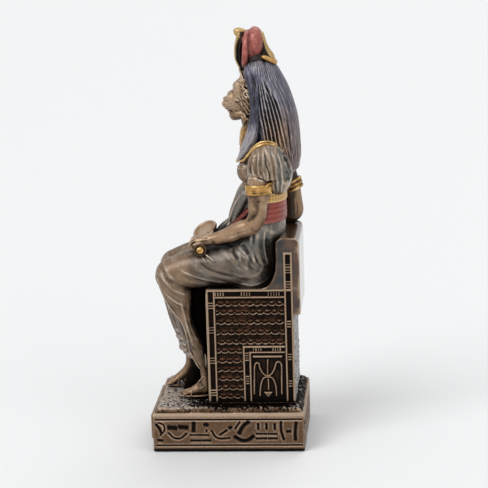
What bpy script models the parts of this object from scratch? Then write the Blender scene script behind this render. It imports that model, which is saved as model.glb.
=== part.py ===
# Seated lioness-headed goddess on a block throne, standing on a rectangular plinth.
# A cast figurine about 86 mm tall. Metres, +Z up. The figure faces -Y and its left hand is at +X.
# The origin is the middle of the plinth's underside.

import math

import bmesh
import bpy
from mathutils import Matrix, Vector

COLLECTION_NAME = "sekhmet_figurine"

# Plinth: a block with a band of cut strokes on each face and rough ground on top.
PLINTH_LENGTH = 0.0315
PLINTH_WIDTH = 0.026
PLINTH_HEIGHT = 0.0083
PLINTH_EDGE = 0.0004
GROUND_RISE = 0.0012
GROUND_SLOPE = 0.0016
GROUND_ROUGHNESS = 0.00012
GROUND_CELL = 0.0018
BORDER_MARGIN = 0.00125
BORDER_CUT = 0.0003
BORDER_LINE = 0.00028
STROKE_WIDTH = 0.0005
STROKE_PITCH = 0.0021
STROKE_END_MARGIN = 0.0024
STROKE_CUT = 0.00025
PANEL_THICKNESS = 0.0006
PANEL_MARGIN = 0.0022
PANEL_TOP_GAP = 0.0009

# Pieces that touch keep this gap.
PIECE_GAP = 0.0003

# Throne: block, raised side frames, feather rows, inner square and the back rest.
THRONE_WIDTH = 0.0176
THRONE_DEPTH = 0.0178
BACK_THICKNESS = 0.0046
BACK_RISE = 0.0104
BACK_RADIUS = 0.0012
BACK_SLAB_PROUD = 0.0015
BACK_SLAB_DROP = 0.0055
ARM_CURVE = 0.0055
FRAME_WIDTH = 0.0018
FRAME_LINE = 0.0004
FRAME_RAISE = 0.0004
FRAME_FLOOR_RAISE = 0.0002
SQUARE_WIDTH = 0.0103
SQUARE_HEIGHT = 0.0119
ROW_PITCH = 0.00196
ROW_HEIGHT = 0.0007
ROW_RAISE = 0.00028
RELIEF_SINK = 0.0004
EMBLEM_LINE = 0.00045
EMBLEM_RAISE = 0.0004

# The figure is drawn on a grid, as shares of its own height. A unit is about a millimetre.
FIGURE_HEIGHT = 0.0766
GRID_HEIGHT = 76.6
UNIT = FIGURE_HEIGHT / GRID_HEIGHT
SEAT_GRID = 23.8
THRONE_BACK_GRID = 13.7
LAP_FILL = 5.5  # half width of the cloth that closes the gap between the thighs and the seat

# How finely the figure is worked.
RING_SIDES = 20
WIG_LOCKS = 26
SKIN_GRID = 0.23
FIGURE_FACES = 6500

GROUND_TOP = PLINTH_HEIGHT + GROUND_RISE
FIGURE_BASE = GROUND_TOP + PIECE_GAP
SEAT_HEIGHT = SEAT_GRID * UNIT
THRONE_BACK = THRONE_BACK_GRID * UNIT
THRONE_FRONT = THRONE_BACK - THRONE_DEPTH
SEAT_TOP = FIGURE_BASE + SEAT_HEIGHT


def clear_scene():
    for obj in list(bpy.data.objects):
        bpy.data.objects.remove(obj, do_unlink=True)


def make_collection(name):
    group = bpy.data.collections.new(name)
    bpy.context.scene.collection.children.link(group)
    return group


def make_material(name, colour, roughness, metallic):
    material = bpy.data.materials.new(name)
    material.use_nodes = True
    shader = material.node_tree.nodes["Principled BSDF"]
    shader.inputs["Base Color"].default_value = (*colour, 1.0)
    shader.inputs["Roughness"].default_value = roughness
    shader.inputs["Metallic"].default_value = metallic
    return material


def finish_object(name, bm, group, material=None):
    """Turn a bmesh into a named object in a collection."""
    bmesh.ops.recalc_face_normals(bm, faces=bm.faces)
    mesh = bpy.data.meshes.new(name)
    bm.to_mesh(mesh)
    bm.free()
    obj = bpy.data.objects.new(name, mesh)
    group.objects.link(obj)
    if material:
        mesh.materials.append(material)
    return obj


def make_guide(obj):
    obj.hide_render = True
    obj.display_type = "WIRE"


def evaluated_mesh(obj):
    """The object's mesh with its modifiers applied."""
    bpy.context.view_layer.update()
    graph = bpy.context.evaluated_depsgraph_get()
    return bpy.data.meshes.new_from_object(obj.evaluated_get(graph))


def add_boolean(obj, cutter, operation, overlapping=False):
    modifier = obj.modifiers.new(operation.lower(), "BOOLEAN")
    modifier.operation = operation
    modifier.solver = "EXACT"
    modifier.use_self = overlapping
    modifier.object = cutter


def add_box(bm, low, high):
    """A box between two corners."""
    low = Vector(low)
    high = Vector(high)
    size = high - low
    matrix = Matrix.Translation((low + high) / 2) @ Matrix.Diagonal((*size, 1.0))
    return bmesh.ops.create_cube(bm, size=1.0, matrix=matrix)["verts"]


# Forms of the figure, in grid units. A station is (x, y, z, side radius, depth radius).

def smooth_stations(stations, steps):
    """A Catmull-Rom curve through the stations."""
    rows = [Vector(s) for s in stations]
    out = []
    for i in range(len(rows) - 1):
        before = rows[max(i - 1, 0)]
        start = rows[i]
        end = rows[i + 1]
        after = rows[min(i + 2, len(rows) - 1)]
        for step in range(steps):
            t = step / steps
            a = start * 2
            b = end - before
            c = before * 2 - start * 5 + end * 4 - after
            d = start * 3 - before - end * 3 + after
            out.append((a + b * t + c * t * t + d * t * t * t) / 2)
    out.append(rows[-1])
    return out


def station_matrix(stations, index):
    """Places a unit ring across the path at one station."""
    here = stations[index]
    before = stations[max(index - 1, 0)]
    after = stations[min(index + 1, len(stations) - 1)]
    along = Vector(after[:3]) - Vector(before[:3])
    along.normalize()
    side = Vector((1.0, 0.0, 0.0))
    if abs(along.x) > 0.8:
        side = Vector((0.0, 1.0, 0.0))
    side = (side - along * side.dot(along)).normalized()
    depth = along.cross(side)
    turn = Matrix((side, depth, along)).transposed().to_4x4()
    size = Matrix.Diagonal((here[3], here[4], 1.0, 1.0))
    return Matrix.Translation(Vector(here[:3])) @ turn @ size


def add_limb(bm, stations, sides=RING_SIDES, steps=3, section=None):
    """A closed tube of changing oval section through the stations."""
    stations = smooth_stations(stations, steps)
    loops = []
    for index in range(len(stations)):
        ring = bmesh.ops.create_circle(
            bm, cap_ends=False, segments=sides, radius=1.0, matrix=Matrix())["verts"]
        if section:
            for vert in ring:
                angle = math.atan2(vert.co.y, vert.co.x)
                vert.co *= section(angle, index / (len(stations) - 1))
        bmesh.ops.transform(bm, matrix=station_matrix(stations, index), verts=ring)
        loops.append(list({edge for vert in ring for edge in vert.link_edges}))
    for first, second in zip(loops, loops[1:]):
        bmesh.ops.bridge_loops(bm, edges=first + second)
    bmesh.ops.contextual_create(bm, geom=loops[0])
    bmesh.ops.contextual_create(bm, geom=loops[-1])


def add_ball(bm, centre, radii, tilt=0.0):
    matrix = (Matrix.Translation(Vector(centre)) @ Matrix.Rotation(tilt, 4, "X")
              @ Matrix.Diagonal((*radii, 1.0)))
    bmesh.ops.create_uvsphere(bm, u_segments=24, v_segments=16, radius=1.0, matrix=matrix)


def add_fold(bm, points, radius, tip=0.35):
    """A ridge of cloth, a cord or a strand: thick in the middle and thin at both ends."""
    last = len(points) - 1
    stations = []
    for index, point in enumerate(points):
        swell = tip + (1 - tip) * math.sin(math.pi * index / last)
        stations.append((*point, radius * swell, radius * swell))
    add_limb(bm, stations, sides=8, steps=3)


def mirrored(points):
    return [(-p[0], *p[1:]) for p in points]


def wig_section(angle, along):
    """Locks run down the wig. They fade out at the crown."""
    depth = 0.055 * min(1.0, along * 2.5)
    return 1 + depth * math.cos(WIG_LOCKS * angle)


def add_head(bm):
    add_ball(bm, (0, 6.6, 63.4), (3.7, 4.4, 4.5))
    add_ball(bm, (0, 5.6, 66.5), (2.8, 2.2, 1.8))
    add_ball(bm, (0, 3.65, 64.55), (2.3, 1.8, 1.35))
    add_limb(bm, [(0, 6.2, 61.9, 3.4, 3.6), (0, 3.0, 61.75, 2.5, 2.6), (0, 1.4, 61.5, 1.95, 2.15),
                  (0, 0.7, 61.35, 1.8, 1.85), (0, 0.05, 61.4, 1.4, 1.2), (0, -0.2, 61.5, 0.85, 0.6)])
    for side in (-1, 1):
        add_ball(bm, (side * 0.85, 0.9, 60.75), (0.95, 0.95, 1.15))
        add_ball(bm, (side * 2.1, 3.5, 61.3), (1.1, 1.9, 2.0))
        add_ball(bm, (side * 4.0, 5.1, 63.3), (0.6, 0.8, 0.8))
        add_fold(bm, [(side * 0.6, 2.0, 64.6), (side * 1.7, 2.3, 64.8), (side * 2.8, 3.6, 64.2)], 0.5)
    add_ball(bm, (0, 2.05, 58.6), (1.45, 1.2, 1.2))
    add_limb(bm, [(0, 5.2, 58.9, 2.4, 1.6), (0, 3.8, 58.9, 2.0, 1.2), (0, 2.0, 59.2, 1.6, 1.1)])
    add_ball(bm, (0, 5.3, 60.8), (4.2, 1.9, 5.2))
    add_limb(bm, [(0, 6.8, 60.0, 3.4, 3.2), (0, 6.6, 55.0, 3.2, 3.0), (0, 6.4, 51.5, 3.8, 3.2)])
    add_limb(bm, [(0, 6.2, 57.4, 3.1, 2.1), (0, 5.8, 55.0, 4.0, 2.65), (0, 5.7, 53.2, 4.1, 2.8),
                  (0, 5.6, 51.4, 4.1, 2.7), (0, 5.4, 50.2, 3.6, 2.5)])


def add_wig(bm):
    add_limb(bm, [(0, 7.0, 69.8, 1.6, 1.7), (0, 7.1, 69.2, 2.9, 2.6), (0, 7.5, 67.6, 4.1, 3.7),
                  (0, 8.2, 65.4, 4.9, 4.3), (0, 9.0, 62.2, 5.4, 4.8), (0, 9.8, 58.5, 5.8, 5.1),
                  (0, 10.4, 55.4, 6.0, 5.0), (0, 11.0, 51.4, 6.1, 4.6), (0, 11.7, 48.6, 6.0, 4.0),
                  (0, 12.3, 46.7, 5.4, 3.0), (0, 12.5, 46.3, 4.9, 2.6)],
             sides=4 * WIG_LOCKS, steps=2, section=wig_section)
    lappet = [(1.8, 5.7, 69.2, 0.8, 1.2), (3.4, 6.2, 67.6, 1.1, 1.9), (4.3, 6.7, 65.6, 1.2, 1.9),
              (4.9, 6.8, 63.0, 1.25, 1.5), (5.2, 6.7, 60.0, 1.3, 1.2), (5.2, 6.35, 57.0, 1.4, 1.2),
              (5.0, 5.7, 54.6, 1.6, 1.4), (4.5, 4.6, 52.4, 1.5, 1.2), (3.8, 3.5, 50.7, 1.1, 0.8),
              (3.4, 3.0, 49.9, 0.7, 0.5)]
    add_limb(bm, lappet)
    add_limb(bm, mirrored(lappet))


def add_crown(bm):
    """The sun disc with its rim, the rearing cobra before it and the base that holds them."""
    add_ball(bm, (0, 6.6, 73.1), (3.5, 1.95, 3.5))
    add_ball(bm, (0, 5.0, 71.95), (3.9, 1.1, 3.9))
    add_limb(bm, [(0, 4.4, 67.4, 0.8, 0.7), (0, 4.1, 68.4, 1.1, 0.7), (0, 3.35, 70.05, 1.5, 0.8),
                  (0, 3.3, 72.3, 1.7, 0.8), (0, 3.45, 74.2, 1.2, 0.7), (0, 3.35, 75.3, 0.8, 0.7)])
    add_limb(bm, [(0, 5.1, 75.3, 0.6, 0.4), (0, 4.2, 75.8, 0.85, 0.55), (0, 3.2, 75.85, 0.9, 0.62),
                  (0, 2.6, 75.65, 0.5, 0.4)])
    add_limb(bm, [(0, 8.1, 75.3, 0.8, 0.45), (0, 8.35, 74.2, 1.1, 0.6), (0, 8.45, 72.6, 1.3, 0.9),
                  (0, 8.9, 71.2, 1.4, 1.1), (0, 9.6, 70.0, 1.4, 1.1), (0, 10.1, 69.4, 1.2, 0.9)])
    add_limb(bm, [(0, 6.6, 71.2, 2.5, 2.0), (0, 6.6, 70.0, 3.0, 2.5), (0, 6.5, 68.6, 3.0, 2.6)])
    leaf = [(1.4, 7.7, 70.2, 0.45, 0.45), (1.95, 8.6, 70.4, 0.55, 0.55), (1.9, 9.6, 70.0, 0.55, 0.55),
            (1.2, 10.5, 69.4, 0.5, 0.5), (0, 10.75, 69.2, 0.5, 0.5)]
    add_limb(bm, leaf, sides=12)
    add_limb(bm, mirrored(leaf), sides=12)


def add_torso(bm):
    add_limb(bm, [(0, 8.8, 52.8, 4.4, 2.6), (0, 8.9, 51.4, 6.4, 3.8), (0, 8.7, 49.5, 7.0, 4.8),
                  (0, 8.4, 46.5, 6.6, 5.0), (0, 8.2, 43.5, 5.9, 4.8), (0, 7.9, 41.5, 5.7, 4.9),
                  (0, 7.1, 36.5, 6.7, 5.6), (0, 5.8, 32.5, 7.7, 6.0), (0, 5.2, 27.8, 8.3, 5.7),
                  (0, 4.8, SEAT_GRID - 0.4, 8.1, 5.3)], sides=28)
    for side in (-1, 1):
        add_ball(bm, (side * 2.7, 4.95, 47.3), (2.3, 2.5, 2.6))
    neckline = [(2.8, 2.9, 49.7), (5.2, 4.1, 49.9), (6.7, 5.5, 51.7), (7.2, 7.6, 53.3), (7.1, 10.0, 53.4),
                (6.6, 12.3, 51.9)]
    for band in (neckline, mirrored(neckline)):
        add_fold(bm, band, 0.55, 0.7)
    add_fold(bm, [(-2.8, 2.9, 49.7), (0, 2.4, 49.0), (2.8, 2.9, 49.7)], 0.5, 0.9)
    add_limb(bm, [(0, 7.9, 40.9, 5.9, 5.0), (0, 7.9, 41.3, 6.25, 5.35), (0, 7.9, 42.5, 6.25, 5.35),
                  (0, 7.9, 42.9, 5.8, 5.0)], sides=28, steps=1)
    add_limb(bm, [(0, 7.8, 41.0, 6.1, 5.2), (0, 7.5, 39.2, 6.65, 5.55), (0, 7.1, 37.2, 6.9, 5.75),
                  (0, 7.1, 36.9, 6.6, 5.5)], sides=28, steps=1)
    add_limb(bm, [(0, 4.6, 43.8, 2.4, 1.2), (0, 3.1, 41.0, 3.2, 1.3), (0, 1.8, 37.6, 3.7, 1.4),
                  (0, 0.9, 34.6, 4.0, 1.5), (0, -0.3, 32.4, 3.8, 1.3)])
    add_limb(bm, [(3.4, 3.7, 40.4, 1.6, 0.7), (3.6, 2.9, 38.8, 1.7, 0.8), (2.8, 1.5, 37.0, 1.6, 0.8),
                  (1.6, 0.4, 35.4, 1.3, 0.6)])


def add_arms(bm):
    add_limb(bm, [(7.0, 7.6, 51.0, 1.6, 2.0), (7.6, 7.4, 47.0, 1.9, 2.3), (7.9, 7.15, 44.0, 1.9, 2.25),
                  (8.0, 6.95, 41.0, 1.8, 1.95), (8.0, 6.7, 38.8, 1.75, 1.85), (7.8, 5.5, 36.9, 1.7, 1.8),
                  (7.3, 3.2, 36.0, 1.65, 1.65), (6.8, 1.2, 35.3, 1.5, 1.45), (6.2, -1.2, 34.5, 1.3, 1.25),
                  (5.8, -3.2, 34.0, 1.4, 1.1), (5.4, -5.0, 33.6, 1.7, 1.1), (5.2, -6.6, 33.2, 1.6, 1.0),
                  (5.1, -7.2, 33.0, 1.2, 0.7)])
    for index in range(4):
        x = 6.3 - index * 0.8
        add_fold(bm, [(x, -5.6, 33.9), (x, -6.9, 33.6), (x, -7.1, 32.5), (x, -6.1, 31.5)], 0.5, 0.8)
    add_fold(bm, [(6.9, -2.2, 33.7), (7.3, -3.8, 33.4), (7.2, -5.2, 33.2), (7.0, -6.4, 32.9)], 0.45, 0.8)
    add_limb(bm, [(-7.0, 9.8, 51.0, 1.6, 2.0), (-7.5, 12.0, 47.0, 1.8, 1.9), (-8.0, 13.8, 42.4, 1.7, 1.45),
                  (-8.3, 14.4, 39.0, 1.55, 1.1), (-8.4, 14.4, 36.6, 1.5, 1.05), (-8.3, 13.6, 35.5, 1.45, 1.0),
                  (-8.1, 11.0, 35.2, 1.5, 1.2), (-7.4, 6.0, 34.4, 1.5, 1.35), (-6.6, 1.8, 33.4, 1.2, 1.15),
                  (-5.9, -0.6, 32.7, 1.6, 1.0), (-5.4, -2.8, 32.1, 1.7, 0.8), (-5.2, -5.0, 31.4, 1.4, 0.6)])
    add_limb(bm, [(-6.6, 12.2, 44.0, 0.8, 1.2), (-6.9, 12.6, 41.0, 0.8, 1.3), (-7.1, 12.8, 38.0, 0.8, 1.2),
                  (-7.1, 12.6, 35.2, 0.9, 1.3)])
    left_sleeve = [(6.3, 8.7, 53.0, 0.7, 1.6), (6.8, 8.8, 52.4, 1.4, 2.8), (7.3, 9.0, 51.2, 1.95, 3.7),
                   (7.7, 9.2, 49.4, 2.15, 4.2), (7.9, 9.2, 47.4, 2.1, 4.2), (7.9, 9.3, 46.5, 2.0, 3.9)]
    right_sleeve = [(-6.3, 9.4, 53.0, 0.7, 1.6), (-6.9, 9.8, 52.2, 1.5, 2.8), (-7.3, 10.6, 50.4, 2.0, 3.3),
                    (-7.7, 11.6, 46.6, 2.1, 3.2), (-7.8, 12.0, 45.4, 2.0, 3.0)]
    tail = [(7.0, 11.3, 51.0, 1.9, 1.9), (7.4, 11.6, 48.6, 2.2, 2.5), (7.4, 11.7, 46.2, 2.1, 2.5),
            (7.0, 11.7, 44.2, 1.7, 2.3), (6.6, 11.6, 43.2, 1.1, 1.8)]
    back_cloth = [(0, 12.2, 48.0, 5.8, 1.4), (0, 12.8, 45.2, 5.4, 1.4), (0, 12.4, 43.4, 4.8, 0.9)]
    left_band = [(7.9, 7.2, 43.5, 2.15, 2.5), (7.9, 7.2, 43.8, 2.35, 2.75), (7.9, 7.2, 45.4, 2.35, 2.75),
                 (7.9, 7.2, 45.7, 2.15, 2.5)]
    right_band = [(-8.0, 13.5, 41.2, 1.9, 1.75), (-8.0, 13.5, 41.5, 2.15, 2.0), (-8.0, 13.2, 43.3, 2.2, 2.1),
                  (-8.0, 13.1, 43.6, 2.0, 1.9)]
    for form in (left_sleeve, right_sleeve, tail, back_cloth, left_band, right_band):
        add_limb(bm, form)
    add_ball(bm, (9.2, 9.0, 44.8), (0.6, 1.1, 1.1))


def add_hand_ankh(bm):
    """The ankh lies across the lap, its stem through the left fist and its butt outwards."""
    add_limb(bm, [(7.9, -5.25, 31.45, 0.8, 0.8), (7.7, -5.25, 31.5, 0.95, 0.95),
                  (6.8, -5.2, 31.7, 0.95, 0.95), (1.4, -4.7, 33.4, 0.7, 0.7)])
    add_limb(bm, [(6.7, -5.2, 31.6, 1.35, 1.35), (7.3, -5.2, 31.6, 1.35, 1.35)], steps=1)
    lie = Vector((0.19, 0.45, 0.87)).normalized()
    middle = Vector((0.3, -4.75, 34.5))
    low = middle - lie * 0.45
    high = middle + lie * 0.3
    add_limb(bm, [(*low, 2.5, 2.5), (*high, 2.8, 2.8)], sides=24, steps=1)
    add_fold(bm, [(2.2, -6.4, 33.4), (2.1, -4.6, 33.6), (2.2, -2.8, 33.9)], 0.6, 0.7)


def add_legs(bm):
    for side in (-1, 1):
        add_limb(bm, [(side * 5.0, 5.0, 28.4, 3.9, 4.6), (side * 4.7, 0.5, 28.0, 4.1, 4.4),
                      (side * 4.5, -4.0, 27.6, 4.0, 4.1), (side * 4.3, -8.0, 27.1, 3.8, 3.9),
                      (side * 4.2, -11.4, 26.2, 3.4, 3.4)])
        add_ball(bm, (side * 4.2, -11.6, 26.1), (3.4, 3.4, 3.4))
    add_limb(bm, [(-3.9, -11.5, 25.0, 3.3, 3.3), (-3.8, -11.7, 22.0, 3.1, 3.1), (-3.7, -11.4, 19.0, 2.8, 2.9),
                  (-3.6, -11.0, 16.0, 2.5, 2.6), (-3.5, -10.3, 13.0, 2.3, 2.3), (-3.5, -9.6, 10.0, 2.1, 2.0),
                  (-3.4, -9.0, 7.6, 1.9, 1.6)])
    add_limb(bm, [(4.2, -11.2, 25.0, 3.3, 3.3), (4.3, -10.5, 22.0, 3.0, 2.95), (4.3, -10.0, 20.0, 2.8, 2.4),
                  (4.4, -9.6, 18.5, 2.5, 1.9), (4.5, -9.0, 16.8, 2.3, 1.35), (4.6, -8.4, 15.0, 2.15, 1.2),
                  (4.6, -7.8, 13.4, 2.05, 1.15), (4.7, -7.2, 11.8, 2.0, 1.2), (4.7, -6.5, 10.0, 2.0, 1.35),
                  (4.7, -6.0, 8.2, 1.95, 1.2), (4.8, -5.6, 6.6, 1.8, 0.9), (4.8, -5.1, 5.6, 1.6, 0.6)])
    add_limb(bm, [(0, 1.0, 28.6, 4.5, 4.0), (0, -6.0, 28.0, 4.5, 3.8), (0, -8.8, 26.0, 4.5, 4.0),
                  (-0.2, -10.2, 20.0, 4.2, 2.5), (-0.2, -9.6, 16.0, 3.9, 2.1), (-0.3, -8.8, 12.0, 3.4, 1.9),
                  (-0.4, -7.9, 8.2, 3.0, 1.5)])
    add_limb(bm, [(0, -6.2, 25.0, 5.2, 3.4), (0, -6.2, 18.0, 4.6, 3.4), (0, -6.0, 11.0, 4.2, 3.0),
                  (0.5, -6.0, 6.0, 3.4, 3.0), (0.5, -6.4, 4.0, 3.2, 3.1), (0.5, -7.2, 2.0, 3.2, 3.6),
                  (0.5, -7.4, 0.1, 3.2, 3.9)])
    add_box(bm, (-LAP_FILL, -3.8, SEAT_GRID - 0.8), (LAP_FILL, 2.5, SEAT_GRID + 1.7))
    add_limb(bm, [(-3.3, -9.0, 10.0, 1.5, 1.6), (-3.3, -9.1, 7.4, 1.2, 1.15), (-3.3, -9.15, 5.8, 1.1, 1.0),
                  (-3.35, -9.5, 4.2, 1.1, 1.0), (-3.4, -10.3, 2.9, 1.2, 1.1), (-3.4, -11.5, 1.8, 1.4, 1.1),
                  (-3.4, -12.8, 1.0, 1.5, 0.85), (-3.4, -14.2, 0.6, 1.4, 0.6)])
    add_limb(bm, [(4.5, -5.4, 8.0, 1.2, 1.2), (4.5, -5.3, 4.6, 1.05, 1.0), (4.45, -5.2, 2.4, 1.1, 1.0),
                  (4.4, -5.2, 1.2, 1.1, 1.0)])
    add_limb(bm, [(4.4, -5.0, 1.2, 1.05, 1.0), (4.4, -6.4, 1.4, 1.15, 1.25), (4.4, -8.0, 0.9, 1.3, 0.9),
                  (4.4, -9.6, 0.6, 1.4, 0.6), (4.4, -10.7, 0.5, 1.3, 0.5)])
    for centre, front, heel in ((-3.4, -14.6, -8.0), (4.4, -11.2, -4.2)):
        middle = (front + heel) / 2
        half = (heel - front) / 2
        add_limb(bm, [(centre, middle, -0.1, 1.55, half), (centre, middle, 0.35, 1.55, half)],
                 sides=24, steps=1)


def add_drapery(bm):
    """Folds sweep from the lap to the knees, down the shins and round the hips."""
    for side in (-1, 1):
        for step in range(3):
            drop = step * 1.9
            add_fold(bm, [(side * 7.6, 4.0 - step, 30.6 - drop * 0.4),
                          (side * 8.2, -0.4 - 0.8 * step, 28.6 - drop * 0.7),
                          (side * 7.9, -5.0, 26.8 - drop * 0.6),
                          (side * 7.2, -10.0 + 0.6 * step, 27.0 - drop)], 0.5)
        add_fold(bm, [(side * 7.1, -12.6, 28.0), (side * 7.1, -13.2, 25.0), (side * 6.6, -12.0, 22.6)], 0.55)
        add_fold(bm, [(side * 3.0, -14.8, 26.4), (side * 2.2, -14.0, 21.8), (side * 1.6, -12.4, 17.0),
                      (side * 1.4, -11.0, 13.6)], 0.55)
        add_fold(bm, [(side * 8.0, 9.4, 31.8), (side * 8.6, 8.4, 28.6), (side * 8.5, 6.0, 25.8),
                      (side * 8.3, 1.6, 25.1)], 0.55)
    add_fold(bm, [(4.6, -14.0, 23.4), (5.9, -12.3, 19.9), (6.1, -11.2, 18.3), (6.2, -9.4, 16.0),
                  (6.3, -8.7, 13.6), (6.3, -8.2, 10.0), (6.0, -6.5, 6.6), (5.4, -5.4, 5.4)], 0.4, 0.8)
    ruffles = ((-11.6, 12.2, 0.65), (-11.3, 10.8, 0.8), (-10.9, 9.4, 0.75), (-10.7, 8.2, 0.8),
               (-10.0, 7.1, 0.65))
    for y, z, thick in ruffles:
        add_fold(bm, [(-5.7, y + 1.6, z + 0.3), (-4.6, y + 0.4, z), (-3.2, y, z), (-1.6, y + 0.3, z + 0.2),
                      (0.4, y + 1.0, z + 0.5), (2.4, y + 1.7, z + 0.7)], thick, 0.6)


def drop_hollows(mesh):
    """Only the outer skin stays, so that no hollow is left sealed inside the figure."""
    bm = bmesh.new()
    bm.from_mesh(mesh)
    bm.verts.ensure_lookup_table()
    unseen = set(bm.verts)
    shells = []
    while unseen:
        queue = [unseen.pop()]
        shell = []
        while queue:
            vert = queue.pop()
            shell.append(vert)
            for edge in vert.link_edges:
                other = edge.other_vert(vert)
                if other in unseen:
                    unseen.remove(other)
                    queue.append(other)
        shells.append(shell)
    shells.sort(key=len)
    for shell in shells[:-1]:
        bmesh.ops.delete(bm, geom=shell, context="VERTS")
    bm.to_mesh(mesh)
    bm.free()


def make_figure(group, material):
    """The figure's overlapping forms become one skin, which is then thinned to few faces."""
    bm = bmesh.new()
    for add_form in (add_head, add_wig, add_crown, add_torso, add_arms, add_hand_ankh, add_legs, add_drapery):
        add_form(bm)
    place = Matrix.Translation((0.0, 0.0, FIGURE_BASE)) @ Matrix.Scale(UNIT, 4)
    bmesh.ops.transform(bm, matrix=place, verts=bm.verts)
    rough = finish_object("figure_forms", bm, group)
    skin = rough.modifiers.new("skin", "REMESH")
    skin.mode = "VOXEL"
    skin.voxel_size = SKIN_GRID * UNIT
    rough.data = evaluated_mesh(rough)
    rough.modifiers.clear()
    drop_hollows(rough.data)
    thin = rough.modifiers.new("thin", "DECIMATE")
    thin.use_collapse_triangulate = True
    thin.ratio = FIGURE_FACES / (2 * len(rough.data.polygons))
    rough.data = evaluated_mesh(rough)
    rough.modifiers.clear()
    rough.data.materials.append(material)
    return rough


# Throne, in metres.

def add_side_relief(bm, side):
    """The raised frame, feather rows, inner square and emblem on one side of the throne."""
    face = side * THRONE_WIDTH / 2

    def plate(y_low, y_high, z_low, z_high, raise_by):
        inner = face - side * RELIEF_SINK
        outer = face + side * raise_by
        add_box(bm, (min(inner, outer), y_low, z_low), (max(inner, outer), y_high, z_high))

    def frame_bar(y_low, y_high, z_low, z_high, upright):
        plate(y_low, y_high, z_low, z_high, FRAME_FLOOR_RAISE)
        if upright:
            plate(y_low, y_low + FRAME_LINE, z_low, z_high, FRAME_RAISE)
            plate(y_high - FRAME_LINE, y_high, z_low, z_high, FRAME_RAISE)
        else:
            plate(y_low, y_high, z_low, z_low + FRAME_LINE, FRAME_RAISE)
            plate(y_low, y_high, z_high - FRAME_LINE, z_high, FRAME_RAISE)

    foot = FIGURE_BASE
    frame_bar(THRONE_FRONT, THRONE_FRONT + FRAME_WIDTH, foot, SEAT_TOP, True)
    frame_bar(THRONE_BACK - FRAME_WIDTH, THRONE_BACK, foot, SEAT_TOP + BACK_RISE * 0.75, True)
    frame_bar(THRONE_FRONT, THRONE_BACK, SEAT_TOP - FRAME_WIDTH, SEAT_TOP, False)
    square_front = THRONE_BACK - SQUARE_WIDTH
    square_top = foot + SQUARE_HEIGHT
    frame_bar(square_front, square_front + FRAME_WIDTH, foot, square_top, True)
    frame_bar(square_front, THRONE_BACK, square_top - FRAME_WIDTH, square_top, False)
    row = SEAT_TOP - FRAME_WIDTH - ROW_PITCH
    while row > foot + ROW_PITCH / 2:
        row_end = THRONE_BACK - FRAME_WIDTH if row > square_top else square_front
        plate(THRONE_FRONT + FRAME_WIDTH, row_end, row, row + ROW_HEIGHT, ROW_RAISE)
        row -= ROW_PITCH
    add_emblem(bm, side, square_front + FRAME_WIDTH, THRONE_BACK - FRAME_WIDTH,
               foot, square_top - FRAME_WIDTH)


def add_emblem(bm, side, y_low, y_high, z_low, z_high):
    """Two plants tied round a stem, as thin raised lines in the inner square."""
    face = side * THRONE_WIDTH / 2
    middle = (y_low + y_high) / 2
    half = (y_high - y_low) / 2 - EMBLEM_LINE * 1.5
    height = z_high - z_low
    knot = z_low + height * 0.5
    cap = z_high - EMBLEM_LINE * 1.5
    lines = [[(middle, z_low + height * 0.1), (middle, z_low + height * 0.82)],
             [(middle - half * 0.8, cap), (middle + half * 0.8, cap)]]
    for way in (-1, 1):
        lines.append([(middle + way * half, z_low + height * 0.1),
                      (middle + way * half, z_low + height * 0.72),
                      (middle + way * half * 0.6, z_low + height * 0.76), (middle, knot)])
        lines.append([(middle, knot), (middle + way * half * 0.5, z_low + height * 0.3),
                      (middle + way * half * 0.55, z_low + height * 0.08)])
    for line in lines:
        for start, end in zip(line, line[1:]):
            reach = Vector((end[0] - start[0], end[1] - start[1]))
            angle = math.atan2(reach.y, reach.x)
            matrix = (Matrix.Translation((face, (start[0] + end[0]) / 2, (start[1] + end[1]) / 2))
                      @ Matrix.Rotation(angle, 4, "X")
                      @ Matrix.Diagonal((2 * EMBLEM_RAISE, reach.length + EMBLEM_LINE, EMBLEM_LINE, 1.0)))
            bmesh.ops.create_cube(bm, size=1.0, matrix=matrix)


def back_outline():
    """The back rest seen from the side: rounded top corners and a curve into the seat."""
    front = THRONE_BACK + BACK_SLAB_PROUD - BACK_THICKNESS
    back = THRONE_BACK + BACK_SLAB_PROUD
    top = SEAT_TOP + BACK_RISE
    sink = FRAME_WIDTH / 2
    points = []
    steps = 5
    for i in range(steps + 1):
        turn = i / steps * math.pi / 2
        points.append((back - BACK_RADIUS * (1 - math.cos(turn)), top - BACK_RADIUS * (1 - math.sin(turn))))
    for i in range(steps + 1):
        turn = i / steps * math.pi / 2
        points.append((front + BACK_RADIUS * (1 - math.sin(turn)), top - BACK_RADIUS * (1 - math.cos(turn))))
    for i in range(steps + 1):
        turn = i / steps * math.pi / 2
        rise = ARM_CURVE * (1 - math.sin(turn))
        points.append((front - ARM_CURVE * 0.5 * (1 - math.cos(turn)), SEAT_TOP + rise))
    points.append((front - ARM_CURVE * 0.5, SEAT_TOP - sink))
    points.append((THRONE_BACK - sink, SEAT_TOP - sink))
    points.append((THRONE_BACK - sink, SEAT_TOP - BACK_SLAB_DROP))
    points.append((back, SEAT_TOP - BACK_SLAB_DROP))
    return points


def add_prism(bm, outline, half_width):
    """An outline in the YZ plane drawn out along X."""
    face = bm.faces.new([bm.verts.new((-half_width, y, z)) for y, z in outline])
    moved = bmesh.ops.extrude_face_region(bm, geom=[face])["geom"]
    verts = [item for item in moved if isinstance(item, bmesh.types.BMVert)]
    bmesh.ops.translate(bm, verts=verts, vec=(2 * half_width, 0.0, 0.0))


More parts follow.
